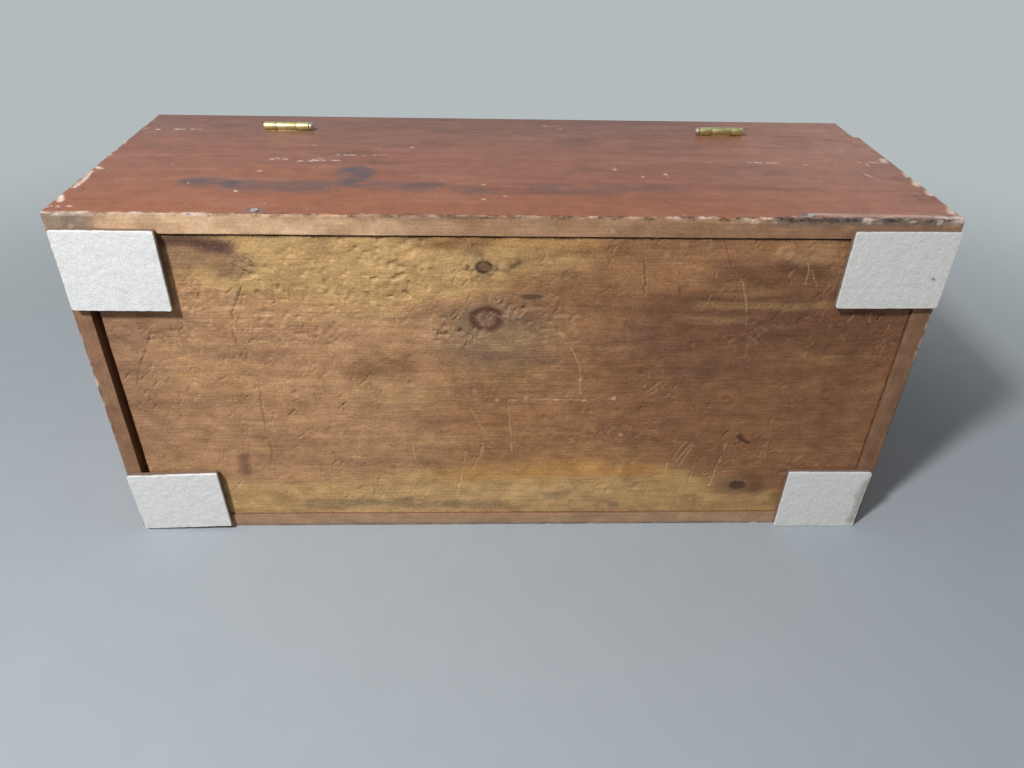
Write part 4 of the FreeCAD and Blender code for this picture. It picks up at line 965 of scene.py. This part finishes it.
# Pale scratches as (x, y) points in mm.
SCRATCHES = (
    ((-35, 52), (-45, 38), (-53, 20), (-55, -5)),
    ((0, -12), (-2, -40), (-3, -60)),
    ((0, -10), (-30, -9), (-65, -10)),
    ((-160, 97), (-167, 80), (-172, 55)),
    ((-180, -19), (-176, -58), (-169, -98)),
    ((-153, -40), (-148, -58), (-141, -77)),
    ((-149, -50), (-138, -72)),
    ((-145, -48), (-136, -66)),
    ((-131, -73), (-129, -88)),
    ((-122, -88), (-115, -113)),
    ((20, -55), (22, -65), (30, -85)),
    ((77, -42), (75, -55), (73, -72)),
    ((125, -65), (110, -67), (98, -63)),
    ((33, -60), (38, -90), (42, -110)),
    ((50, -75), (39, -97)),
    ((29, -17), (19, -40), (20, -65)),
    ((15, -85), (8, -91)),
    ((148, 30), (142, 0), (134, -20)),
    ((222, -100), (212, -88)),
    ((238, 40), (233, 20)),
    ((-89, -42), (-96, -43)),
    ((213, 55), (211, 65)),
)
# Small round pricks with a raised pale rim, as (x, y) in mm.
PRICKS = ((9, -9.6), (-13, -7.8), (-36.5, -9), (-58, -10), (-81, -8.5), (-54, 9), (-90, -44))
# Patches crowded with small pits, as (x, y), half width and half height in mm, and strength.
PITTED = (
    (82, 85, 30, 24, 1.2), (40, 52, 24, 14, 1.2), (-2, 67, 18, 12, 1.1),
    (-30, 60, 24, 18, 0.9), (-145, -62, 14, 20, 0.35), (-120, -100, 12, 18, 0.4),
    (-97, -75, 14, 8, 0.45), (-35, -9, 55, 5, 0.6), (150, 74, 70, 40, 0.85),
    (250, 60, 34, 44, 0.6), (20, 100, 24, 16, 0.8), (120, -20, 60, 40, 0.25),
)
# Random gouges as their longest run, how many, and their half width and depth in mm.
GOUGES = (
    (8, 1300, 0.6, 1.0),
    (20, 240, 0.5, 0.7),
    (60, 110, 0.45, 0.45),
)
DENTS = 120  # random round dents
DEEPEST = 3  # mm that no mark goes beyond
# Stains as (x, y) points, half width in mm, the colour's name and strength.
STAINS = (
    (((230, 108), (205, 112), (188, 104)), 15, "plum", 0.6),
    (((238, 119), (190, 116)), 5.5, "plum", 0.9),
    (((236, 120), (196, 118)), 4.5, "knot", 0.5),
    (((-254, 60), (-254, -50)), 12, "chestnut", 0.4),
    (((285, 44), (270, 46)), 14, "plum", 0.25),
    # The next stain is partly painted shade of the crowded pits there.
    (((112, 14), (78, 22)), 12, "latewood", 0.5),
    (((60, 119), (22, 118)), 6, "latewood", 0.5),
    (((-150, 95), (-212, 94)), 11, "chestnut", 0.85),
    (((-4, 71), (-64, 84)), 17, "chestnut", 0.4),
    (((165, -116), (122, -117), (80, -116)), 5, "olive", 0.6),
    (((70, -117), (5, -117)), 4, "olive", 0.5),
    (((-35, -108), (-50, -107)), 5, "olive", 0.5),
    (((-90, -120), (-94, -119)), 4, "olive", 0.7),
    (((210, -66), (211, -80)), 6, "plum", 0.7),
    (((-180, -98), (-208, -98)), 11, "knot", 0.42),
    (((-188, -44), (-195, -52)), 2.6, "knot", 0.75),
    (((280, 40), (276, -40)), 26, "plum", 0.25),
    (((-185, 104), (-225, 99)), 5, "knot", 0.35),
    (((-5, 107), (-50, 112), (-95, 118)), 3, "latewood", 0.4),
    (((12, 100), (3, 100)), 1.6, "knot", 0.4),
    (((1, 103), (-5, 105.5)), 2.0, "knot", 0.6),
    (((29, 102), (28.5, 99.5)), 2.2, "knot", 0.75),
)


def bent_grain(points):
    """The y place of the grain line through each point, which bends round the knots, in mm."""
    x, y = points[:, X], points[:, Y]
    flow = y + 2.5 * lattice_noise(points, (170, 60, 60), 401)
    flow += 0.6 * lattice_noise(points, (60, 18, 18), 402)
    for knot_x, knot_y, long_radius, wide_radius, _, _ in KNOTS:
        reach = 1.6 * wide_radius
        away = ((x - knot_x) * wide_radius / (1.7 * long_radius)) ** 2 + (y - knot_y) ** 2
        flow -= (y - knot_y) * reach**2 / np.maximum(away, reach**2)
    return flow


def bottom_colours(look, points):
    """The bottom board's broad colours: ochre bands, a tan left half, a dark end, and stains."""
    x, y, level = points[:, X], points[:, Y], points[0, Z]
    # From left to right the wood goes from tan through reddish to brown, darkest at the top right.
    drift = cloud(points, (110, 24, 24), 411)
    tone = np.tile(np.array(look.tan), (len(points), 1))
    tone = mixed(tone, look.russet, ramp(x + 30 * drift, 105, -5))
    tone = mixed(tone, look.umber, ramp(x + 30 * drift, -20, -110))
    dark_end = ramp(x + 30 * drift, -40, -150) * ramp(y + 14 * drift, -25, 75) * ramp(y, 132, 88)
    tone = mixed(tone, look.chestnut, dark_end)
    # The upper band of ochre ends in a reddish part, tan again beside the pad.
    upper = np.interp(x, (-90, -60, 0, 40, 90, 180, 232), (124, 112, 96, 82, 66, 72, 100))
    upper_band = ramp(y + 10 * drift, upper - 14, upper + 16)
    tone = mixed(tone, look.ochre, 0.95 * upper_band * ramp(x, -95, -50))
    right_top = ramp(y + 8 * drift, 82, 100) * ramp(x, -50, -80) * ramp(x, -270, -200)
    tone = mixed(tone, look.russet, 0.8 * right_top)
    by_right_pad = ramp(y + 8 * drift, 106, 114) * ramp(x, -170, -195) * ramp(x, -235, -215)
    tone = mixed(tone, look.tan, 0.55 * by_right_pad)
    # The lower band is orange in its middle, and so is the edge above the upper band.
    lower = np.interp(x, (-230, -205, -165, -135, -60, 0, 60, 150, 200),
                      (-100, -84, -90, -72, -58, -80, -72, -84, -98))
    lower_band = ramp(y + 10 * drift, lower + 12, lower - 16)
    to_right = np.maximum(ramp(x, -215, -165), 0.8 * ramp(y, -98, -108))
    tone = mixed(tone, look.ochre, 0.8 * lower_band * to_right)
    orange = ramp(y + 6 * drift, -96, -86) * ramp(x, 70, 30) * ramp(x, -150, -110)
    tone = mixed(tone, look.honey, 0.85 * lower_band * orange)
    upper_edge = ramp(y + 5 * drift, 108, 116) * ramp(x, 66, 50) * ramp(x, -80, -40)
    tone = mixed(tone, look.honey, 0.6 * upper_edge)
    lower_edge = ramp(y, -94, -101) * ramp(x, 150, 110) * ramp(x, -115, -60)
    tone = mixed(tone, look.scratch, 0.14 * lower_edge)
    # Grey round the large knot, then clouds and stains of other colours.
    round_knot = ramp(np.hypot((x - 8) / 62, (y - 48) / 34) + 0.25 * drift, 1.2, 0.5)
    tone = mixed(tone, look.olive, 0.72 * round_knot * (1 - 0.8 * upper_band))
    plain = (1 - upper_band) * (1 - lower_band)
    tone = mixed(tone, look.plum, 0.34 * ramp(cloud(points, (90, 15, 15), 417), 0.1, 0.9) * plain)
    tone = mixed(tone, look.ochre, 0.3 * ramp(cloud(points, (80, 12, 12), 418), 0.2, 1.0) * plain)
    tone = mixed(tone, look.latewood, 0.28 * ramp(cloud(points, (26, 16, 16), 419), 0.2, 1.0))
    warped = (points + 3 * wobble(points, (20, 8, 8), 420)) * (1, 1, 0) + (0, 0, level)
    for route, width, colour, strength in STAINS:
        mark = cover(warped, on_level(route, level), 1.4 * width)
        tone = mixed(tone, getattr(look, colour), strength * ramp(mark, 0, 0.8))
    return tone


def groove(points, route, width, depth):
    """The depth in mm of a groove along a route, with a slight lip pushed up on both sides."""
    mark = cover(points, route, 2.2 * width)
    return depth * (ramp(mark, 0.4, 0.95) - 0.35 * ramp(mark, 0.02, 0.25) * ramp(mark, 0.6, 0.3))


def long_marks(flat, warped, pale, dark, cut):
    """Add the cracks, which are dark, and the long scratches, which are pale."""
    level = flat[0, Z]
    broken = 0.25 + 0.75 * ramp(lattice_noise(flat, 7, 441), -0.4, 0.3)
    for route in CRACKS:
        line = broken * groove(warped, on_level(route, level), 0.6, 1.1)
        cut += line
        np.maximum(dark, 0.35 * ramp(line, 0.4, 1.0), out=dark)
    for route in SCRATCHES:
        line = broken * groove(warped, on_level(route, level), 0.7, 0.6)
        cut += line
        np.maximum(pale, 0.38 * ramp(line, 0.1, 0.45), out=pale)


def random_marks(warped, low, high, pale, dark, cut):
    """Add gouges, crowded in some places and more so above, and round dents."""
    rng = np.random.default_rng(440)
    near = finder(warped)
    for longest, count, width, depth in GOUGES:
        for _ in range(count):
            lean = (rng.normal(-0.5, 0.6), 1, 0)
            route = wandering(rng, low, high, longest, lean)
            crowded = cloud(route[:1], 55, 453)[0] + 0.5 * ramp(route[0, Y], 20, 70)
            if crowded + 0.005 * longest < rng.uniform(0.0, 0.8):
                continue
            here = near(route, 5)
            wide, deep = width * rng.uniform(0.8, 1.3), depth * rng.uniform(0.2, 1)
            line = groove(warped[here], route, wide, deep)
            cut[here] += line
            pale[here] = np.maximum(pale[here], rng.uniform(-0.2, 0.4) * ramp(line, 0.05, 0.4))
            dark[here] = np.maximum(dark[here], rng.uniform(-0.3, 0.2) * ramp(line, 0.2, 0.7))
    for _ in range(DENTS):
        spot = rng.uniform(low, high)
        here = near(spot, 8)
        cut[here] += groove(warped[here], [spot], rng.uniform(1.4, 3.2), rng.uniform(0.2, 0.5))


def pricks_and_pits(flat, warped, pale, dark, cut):
    """Add the round pricks with their rims, and pits that crowd together in patches."""
    x, y, level = flat[:, X], flat[:, Y], flat[0, Z]
    for spot in PRICKS:
        mark = cover(flat, on_level([spot], level), 2.6)
        cut += 0.5 * mark - 0.25 * ramp(mark, 0.1, 0.3) * ramp(mark, 0.7, 0.4)
        np.maximum(pale, 0.5 * ramp(mark, 0.15, 0.4) * ramp(mark, 0.9, 0.6), out=pale)
    crowd = (0.16 + 0.6 * ramp(cloud(flat, 36, 442), 0.3, 0.9)) * (0.45 + 0.55 * ramp(x, -90, 10))
    for at_x, at_y, wide, tall, strength in PITTED:
        away = np.hypot((x - at_x) / wide, (y - at_y) / tall)
        crowd = np.maximum(crowd, strength * ramp(away, 1.3, 0.4))
    pits = crowd * ramp(lattice_noise(warped, (3.2, 2.8, 4), 443), 0.15, 0.6)
    pits += 0.6 * crowd * ramp(lattice_noise(warped, (6.5, 5.0, 6), 444), 0.3, 0.8)
    cut += pits
    # The deepest pits are painted darker, and their rims paler as a painted highlight.
    np.maximum(dark, 0.12 * ramp(pits, 0.5, 1.2), out=dark)
    np.maximum(pale, 0.12 * ramp(pits, 0.05, 0.3) * ramp(pits, 0.7, 0.4), out=pale)


def knotted(look, flat, tone, cut):
    """The colours with the knots in them, which also stand a little lower than the wood."""
    x, y = flat[:, X], flat[:, Y]
    speckle = ramp(lattice_noise(flat, (1.5, 1.5, 2), 452), 0.1, 0.6)
    for knot_x, knot_y, long_radius, wide_radius, darkness, paleness in KNOTS:
        away = np.hypot((x - knot_x) / long_radius, (y - knot_y) / wide_radius)
        away += 0.1 * lattice_noise(flat, 5, 445)
        heart = paleness * ramp(away, 0.85, 0.5)
        bark = look.knot_ring if wide_radius > 8 else look.knot
        tone = mixed(tone, look.olive, 0.4 * ramp(away, 2.4, 1.3))
        tone = mixed(tone, bark, darkness * ramp(away, 1.4, 0.95) * (1 - heart))
        tone = mixed(tone, look.scratch, 0.5 * heart * speckle)
        cut += 0.2 * ramp(away, 1.2, 0.9) + 0.4 * heart * speckle
    return tone


def shaded_rim(flat, low, high, dark):
    """Add darkening along the walls, strongest at the back, as painted shade of the gaps there, and
    faint grey clouds.
    """
    x, y = flat[:, X], flat[:, Y]
    ragged = 0.8 * cloud(flat, 12, 446)
    at_back = ramp(high[Y] - y + ragged, 2.3, 0.5)
    at_front = ramp(y - low[Y] + ragged, 1.2, 0.1) * ramp(x, 60, -60)
    at_ends = ramp(np.minimum(x - low[X], high[X] - x) + ragged, 1.4, 0.1)
    clouds = 0.2 * ramp(cloud(flat, (34, 12, 12), 447), 0.4, 1.2)
    # Painted shade along the gaps at the walls, then the grey clouds.
    for dirt in (0.85 * at_back, 0.12 * at_front, 0.35 * at_ends, clouds):
        np.maximum(dark, dirt, out=dark)


def worn_bottom(look, node):
    """Cut, wear, paint and show the bottom board, whose underside is all seen."""
    box = span(node)
    mesh = as_mesh(gridded(node, box, BOTTOM_STEPS), node)
    points = mesh_points(mesh)
    x, y, z = points.T
    level = box[0][Z]
    low, high = np.array([*box[0][:2], level]), np.array([*box[1][:2], level])
    flat = points * (1, 1, 0) + (0, 0, level)
    warped = flat + 0.8 * wobble(flat, 4.5, 430) * (1, 1, 0)
    pale, dark, cut = np.zeros((3, len(points)))
    long_marks(flat, warped, pale, dark, cut)
    random_marks(warped, low, high, pale, dark, cut)
    pricks_and_pits(flat, warped, pale, dark, cut)
    tone = knotted(look, flat, bottom_colours(look, flat), cut)
    shaded_rim(flat, low, high, dark)
    flow = bent_grain(flat)
    for name, values in (("tone", tone), ("flow", flow * MM),
                         ("pale", np.clip(pale, 0, 1)), ("dark", np.clip(dark, 0, 1))):
        paint(mesh, name, values)

    hollow = 0.8 + 0.22 * lattice_noise(flat, (200, 46, 46), 448)
    hollow += 0.17 * cloud(flat, (12, 8, 8), 449)
    hollow += 0.05 * lattice_noise(np.stack([x, flow, z * 0], axis=1), (70, 3.2, 9), 451)
    wavy = np.clip(0.35 + 0.35 * cloud(flat, (18, 18, 18), 450), 0, 1)
    depth = np.zeros((3, 2, len(points)))
    depth[:Z] = wavy * np.where(y < -120, 0.2, np.where(y > 120, 1.5, 0.7))
    depth[Z, 0] = np.clip(hollow + cut, 0, DEEPEST)
    move_points(mesh, rounded(sunk(points, box, depth), box, np.where(y < -110, 0.15, 0.6)))
    # Old planed pine: dry and dull, with soft brown lines that run round the knots.
    finish = wood(
        "Old planed pine", X, None, tuple(look.latewood), streaks=0.2, line=2.0, line_depth=0.1,
        mottle=0.18, gloss=(0.5, 0.65), painted="tone", pale=tuple(look.scratch),
        dark=tuple(look.knot), flow=True, relief=0.4)
    return show(mesh, node, [finish])


class CHEST_OT_bottom_board(bpy.types.Operator):
    """Plane, stain, scratch and pit the bottom board"""

    bl_idname = "chest.bottom_board"
    bl_label = "Bottom board"

    def execute(self, context):
        worn_bottom(context.scene.chest_pine, "bottom_board")
        return {"FINISHED"}


# --- the felt pads -----------------------------------------------------------------------------

PAD_STEPS = (1.0, 1.0, 0.8)  # mm between the cuts of its mesh
# Dirt on the felt as (x, y) points, half width in mm and strength.
FELT_DIRT = (
    (((-293.5, 98), (-294.5, 97)), 2.2, 0.9),
    (((-301, -88), (-298, -104), (-300, -118), (-297, -132)), 8.0, 0.6),
    (((262, 84), (263, 85)), 2.4, 0.2),
    (((-262, 118), (-266, 122)), 3.0, 0.12),
)


def soft_pad(look, node, finish, seed):
    """Round, roughen and dirty one felt pad."""
    low, high = span(node)
    sheet = whole_mesh(node)
    upright = [edge for edge in sheet.edges
               if abs(edge.verts[0].co.z - edge.verts[1].co.z) > MM and is_crisp(edge)]
    ease(sheet, upright, 0.4 * look.soft_edge, 2, 0.5)
    free = [edge for edge in sheet.edges
            if all(corner.co.z < ON_PLANE * MM for corner in edge.verts) and is_crisp(edge)]
    ease(sheet, free, look.soft_edge, 3, 0.5)
    faces = sheet.faces[:]
    for axis, step in enumerate(PAD_STEPS):
        count = round((high[axis] - low[axis]) / step)
        faces = cut_faces(sheet, faces, axis, np.linspace(low[axis], high[axis], count + 1)[1:-1])
    sheet.normal_update()
    normals = np.array([list(corner.normal) for corner in sheet.verts])
    mesh = as_mesh(sheet, node)
    points = mesh_points(mesh)
    lump = look.lump / MM
    uneven = 0.6 * lump * (1 + lattice_noise(points, 2.3, seed))
    uneven += 0.4 * lump * (1 + cloud(points, 13, seed + 1))
    glued = points[:, Z] > high[Z] - ON_PLANE
    uneven *= np.where(glued, 0.4, 1)
    moved = points - normals * uneven[:, None]
    moved[glued, Z] = high[Z]
    move_points(mesh, moved)

    dirt = np.zeros(len(points))
    for route, width, strength in FELT_DIRT:
        mark = cover(points * (1, 1, 0), on_level(route, 0), width)
        ragged = mark + 0.35 * mark * cloud(points, 2.6, seed + 7)
        dirt = np.maximum(dirt, strength * ramp(ragged, 0, 0.9))
    # The two pads at -X are greyed all over, the back one more: painted shade for the weaker light
    # at that end.
    far_pad_shade = 0.15 if low[Y] > 0 else 0.09
    paint(mesh, "dark", np.maximum(dirt, far_pad_shade * (low[X] < 0)))
    # The sides are brown down to the last 2 mm: partly painted shade of the sides, partly glue and
    # dirt soaked in.
    soaked = ramp(points[:, Z] + 0.5 * lattice_noise(points, 5, seed + 5), 1.5, 2.3)
    paint(mesh, "glue", 0.92 * soaked)
    show(mesh, node, [finish], "soft")


class CHEST_OT_felt_pads(bpy.types.Operator):
    """Soften the four felt pads under the corners"""

    bl_idname = "chest.felt_pads"
    bl_label = "Felt pads"

    def execute(self, context):
        look = context.scene.chest_felt
        finish = wool_felt(look)
        for turn, node in enumerate(PADS):
            soft_pad(look, node, finish, 500 + 20 * turn)
        return {"FINISHED"}


# --- fittings ----------------------------------------------------------------------------------


def refinish(nodes, finish):
    """Give CAD nodes that keep their shape a finish."""
    for node in nodes:
        for place in frame["nodes"][node].material_slots:
            place.material = finish


# Each metal finish: its clean and its dull colour, and its other settings.
METALS = {
    # Cast and filed, then polished by hands: yellow and bright, with brown tarnish in patches.
    "Polished brass": ("brass", "brass_dull", {"cover_up": 0.6, "patch": 7, "gloss": (0.42, 0.6)}),
    # Drawn wire: grey, with fine lines along it.
    "Drawn steel": ("steel", "rust", {
        "cover_up": 0.15, "patch": 6, "gloss": (0.45, 0.6), "metallic": 0.7}),
    # Cast iron with baked black lacquer, brown where it has worn through.
    "Black japanned iron": ("iron", "rust", {
        "cover_up": 0.5, "patch": 15, "gloss": (0.35, 0.6), "metallic": 0.0, "coat": 0.25,
        "relief": 0.08}),
    # Cut nails, brown with oxide where hands have not rubbed their heads grey; that pale, half-matt
    # grey is partly a painted glint.
    "Rubbed nail iron": ("nail", "rust", {
        "cover_up": 0.35, "patch": 2.5, "gloss": (0.35, 0.5), "metallic": 0.35, "relief": 0.08}),
}


def fitting_finish(name):
    """A metal finish of the table, made at its first use."""
    look = bpy.context.scene.chest_metal
    clean, dull, settings = METALS[name]
    return bpy.data.materials.get(name) or metal(
        name, tuple(getattr(look, clean)), tuple(getattr(look, dull)), **settings)


class CHEST_OT_hinges(bpy.types.Operator):
    """Ease and polish the two butt hinges and their pins"""

    bl_idname = "chest.hinges"
    bl_label = "Hinges"

    def execute(self, context):
        brass, steel = fitting_finish("Polished brass"), fitting_finish("Drawn steel")
        for side in ("left", "right"):
            eased(f"{side}_hinge_case_leaf", brass, 0.3)
            eased(f"{side}_hinge_lid_leaf", brass, 0.3)
            eased(f"{side}_hinge_pin", steel, 0.15)
        refinish(("case_hinge_screws", "lid_hinge_screws"), brass)
        return {"FINISHED"}


class CHEST_OT_lock(bpy.types.Operator):
    """Ease and polish the lock, its strike and the key escutcheon"""

    bl_idname = "chest.lock"
    bl_label = "Lock"

    def execute(self, context):
        brass = fitting_finish("Polished brass")
        for node in ("lock_plate", "lock_cap", "lock_bolt", "lock_strike", "key_escutcheon"):
            eased(node, brass, 0.2)
        refinish(("escutcheon_pins", "lock_screws", "lock_strike_screws"), brass)
        return {"FINISHED"}


class CHEST_OT_handles(bpy.types.Operator):
    """Ease and lacquer the two lifting handles"""

    bl_idname = "chest.handles"
    bl_label = "Lifting handles"

    def execute(self, context):
        iron = fitting_finish("Black japanned iron")
        for side in ("left", "right"):
            eased(f"{side}_handle_plate", iron, 0.4)
            eased(f"{side}_handle_bail", iron, 0.3)
        refinish(("handle_screws",), iron)
        return {"FINISHED"}


class CHEST_OT_nails(bpy.types.Operator):
    """Finish the nails and the runner screws"""

    bl_idname = "chest.nails"
    bl_label = "Nails and screws"

    def execute(self, context):
        nail_iron = fitting_finish("Rubbed nail iron")
        refinish(("bottom_nails", "lid_top_nails", "till_nails"), nail_iron)
        refinish(("till_runner_screws",), fitting_finish("Drawn steel"))
        return {"FINISHED"}


class CHEST_OT_till(bpy.types.Operator):
    """Ease and finish the sliding till and its runners"""

    bl_idname = "chest.till"
    bl_label = "Till and runners"

    def execute(self, context):
        look = context.scene.chest_pine
        # Clean planed pine: pale, with narrow honey lines of latewood.
        finishes = {
            along: wood(
                f"Planed till pine along {'XYZ'[along]}", along, tuple(look.till_pine),
                tuple(look.till_line), streaks=0.55, line=2.2, line_depth=0.16, gloss=(0.55, 0.7),
                relief=0.05)
            for along in (X, Y)
        }
        for node, along in TILL_BOARDS.items():
            eased(node, finishes[along], 0.5)
        # Oiled oak: brown, with open pores along it, rubbed smooth by the till.
        oak = wood(
            "Oiled oak", Y, tuple(look.oak), tuple(look.oak_line), streaks=0.5, line=1.6,
            line_depth=0.3, gloss=(0.4, 0.6), pore=tuple(look.oak_line), relief=0.1)
        for node in ("left_till_runner", "right_till_runner"):
            eased(node, oak, 0.4)
        return {"FINISHED"}


# --- stage -------------------------------------------------------------------------------------

CAMERA_PLACE = Vector((18.5, 338.4, -484.1)) * MM
CAMERA_FORWARD = Vector((-0.0357, -0.5619, 0.8264))
CAMERA_UP = Vector((0.0009, 0.8269, 0.5623))
CAMERA_LENS = 27.62  # mm
FILM_WIDTH = 36  # mm
LAMP_PLACES = {"Low lamp": (0.68, 1.13, -0.75), "High lamp": (0.75, -1.05, 1.15)}
FLOOR_HALF = 6.0  # metres from a floor's middle to its edges
FLOOR_GAP = 0.2  # mm between the chest's front and the floor that it lies on
FADE = (0.42, 1.25)  # metres from a floor's middle over which it is lost in the background


def aimed(forward, up, place):
    """A matrix that stands at place and looks along forward, with up upwards."""
    back = -forward.normalized()
    side = up.cross(back).normalized()
    turn = Matrix((side, back.cross(side), back)).transposed().to_4x4()
    return Matrix.Translation(place) @ turn


def paper(look):
    """Seamless paper: plain, matt, lost in the background far out, and clear from behind."""
    material = bpy.data.materials.new("Seamless paper")
    tree = bare_tree(material)
    spot = add(tree, "TexCoord").outputs["Object"]
    away = add(tree, "VectorMath", {0: spot}, operation="LENGTH").outputs["Value"]
    # The paper's tooth is 0.2 mm; faint clouds 40 mm wide stand for it, so the floor isn't flat.
    clouds = add(tree, "TexNoise", {"Vector": spot, "Scale": 25.0, "Detail": 3.0}).outputs["Fac"]
    shade = add(tree, "MapRange", {0: clouds, 1: 0.3, 2: 0.7, 3: 0.985, 4: 1.015}).outputs[0]
    colour = add(tree, "Mix", {0: 1.0, 6: tuple(look.floor), 7: shade}, data_type="RGBA",
                 blend_type="MULTIPLY").outputs[2]
    near = add(tree, "BsdfDiffuse", {"Color": colour}).outputs[0]
    far = add(tree, "Emission", {"Color": tuple(look.backdrop), "Strength": 1.0}).outputs[0]
    lost = add(tree, "MapRange", {0: away, 1: FADE[0], 2: FADE[1]},
               interpolation_type="SMOOTHSTEP").outputs[0]
    seen = add(tree, "MixShader", {0: lost, 1: near, 2: far}).outputs[0]
    clear = add(tree, "BsdfTransparent").outputs[0]
    behind = add(tree, "NewGeometry").outputs["Backfacing"]
    both = add(tree, "MixShader", {0: behind, 1: seen, 2: clear}).outputs[0]
    add(tree, "OutputMaterial", {"Surface": both})
    return material


def floor(name, finish, matrix):
    """A wide floor that takes shadows and neither blocks the lamps nor colours the chest."""
    corners = [(x * FLOOR_HALF, y * FLOOR_HALF, 0) for x, y in ((-1, -1), (1, -1), (1, 1), (-1, 1))]
    mesh = bpy.data.meshes.new(name)
    mesh.from_pydata(corners, [], [(0, 1, 2, 3)])
    mesh.materials.append(finish)
    ground = bpy.data.objects.new(name, mesh)
    bpy.context.scene.collection.objects.link(ground)
    ground.matrix_world = matrix
    ground.visible_shadow = False
    ground.visible_diffuse = False


class CHEST_OT_stage(bpy.types.Operator):
    """Set out the floors, the background, the soft lamps and the camera"""

    bl_idname = "chest.stage"
    bl_label = "Stage"

    def execute(self, context):
        look = context.scene.chest_stage
        finish = paper(look)
        # The chest is shown tipped onto its front, so one floor lies against that and faces back.
        front = (CASE[0][Y] - FLOOR_GAP) * MM
        upright = Matrix.Rotation(-math.pi / 2, 4, "X")
        floor("floor_under_front", finish, Matrix.Translation((0, front, 0)) @ upright)
        floor("floor_under_pads", finish, Matrix.Identity(4))

        world = bpy.data.worlds.new("Studio")
        tree = bare_tree(world)
        rays = add(tree, "LightPath")
        seen = rays.outputs["Is Camera Ray"]
        for kind in ("Is Glossy Ray", "Is Transmission Ray"):
            seen = add(tree, "Math", {0: seen, 1: rays.outputs[kind]},
                       operation="MAXIMUM").outputs[0]
        white = (1.0, 1.0, 1.0, 1.0)
        fill = add(tree, "Background", {"Color": white, "Strength": look.fill}).outputs[0]
        shown = add(tree, "Background", {"Color": tuple(look.backdrop), "Strength": 1.0}).outputs[0]
        both = add(tree, "MixShader", {0: seen, 1: fill, 2: shown}).outputs[0]
        add(tree, "OutputWorld", {"Surface": both})
        context.scene.world = world

        for name, place in LAMP_PLACES.items():
            light = bpy.data.lights.new(name, "AREA")
            light.size = look.key_size
            light.energy = look.key_power
            lamp = bpy.data.objects.new(name, light)
            context.scene.collection.objects.link(lamp)
            lamp.matrix_world = aimed(-Vector(place), Vector((0, 0, 1)), Vector(place))
            lamp.visible_camera = False

        camera = bpy.data.objects.new("Camera", bpy.data.cameras.new("Camera"))
        camera.data.lens = CAMERA_LENS
        camera.data.sensor_width = FILM_WIDTH
        camera.matrix_world = aimed(CAMERA_FORWARD, CAMERA_UP, CAMERA_PLACE)
        context.scene.collection.objects.link(camera)
        context.scene.camera = camera
        context.scene.view_settings.view_transform = "Standard"
        return {"FINISHED"}


# --- add-on ------------------------------------------------------------------------------------

SETTINGS = {
    "chest_wood": ChestWood, "chest_pine": ChestPine, "chest_metal": ChestMetal,
    "chest_felt": ChestFelt, "chest_stage": ChestStage,
}
OPERATORS = (
    CHEST_OT_stage, CHEST_OT_case_boards, CHEST_OT_lid_boards, CHEST_OT_bottom_board,
    CHEST_OT_felt_pads, CHEST_OT_hinges, CHEST_OT_lock, CHEST_OT_handles, CHEST_OT_nails,
    CHEST_OT_till,
)


class CHEST_PT_tools(bpy.types.Panel):
    """Lists the chest's pieces and settings"""

    bl_idname = "CHEST_PT_tools"
    bl_label = "Tool Chest"
    bl_space_type = "VIEW_3D"
    bl_region_type = "UI"
    bl_category = "Chest"

    def draw(self, context):
        for operator in OPERATORS:
            self.layout.operator(operator.bl_idname)
        for name, group in SETTINGS.items():
            box = self.layout.box()
            for key in group.__annotations__:
                box.prop(getattr(context.scene, name), key)


def register():
    """Register the settings, the operators and the panel."""
    for name, group in SETTINGS.items():
        bpy.utils.register_class(group)
        setattr(bpy.types.Scene, name, PointerProperty(type=group))
    for operator in OPERATORS:
        bpy.utils.register_class(operator)
    bpy.utils.register_class(CHEST_PT_tools)


def unregister():
    """Take everything out again, in the opposite order."""
    bpy.utils.unregister_class(CHEST_PT_tools)
    for operator in reversed(OPERATORS):
        bpy.utils.unregister_class(operator)
    for name, group in reversed(SETTINGS.items()):
        delattr(bpy.types.Scene, name)
        bpy.utils.unregister_class(group)


def main():
    """Dress the whole chest."""
    register()
    bpy.ops.chest.stage()
    bpy.ops.chest.case_boards()
    bpy.ops.chest.lid_boards()
    bpy.ops.chest.bottom_board()
    bpy.ops.chest.felt_pads()
    bpy.ops.chest.hinges()
    bpy.ops.chest.lock()
    bpy.ops.chest.handles()
    bpy.ops.chest.nails()
    bpy.ops.chest.till()


if __name__ == "__main__":
    main()
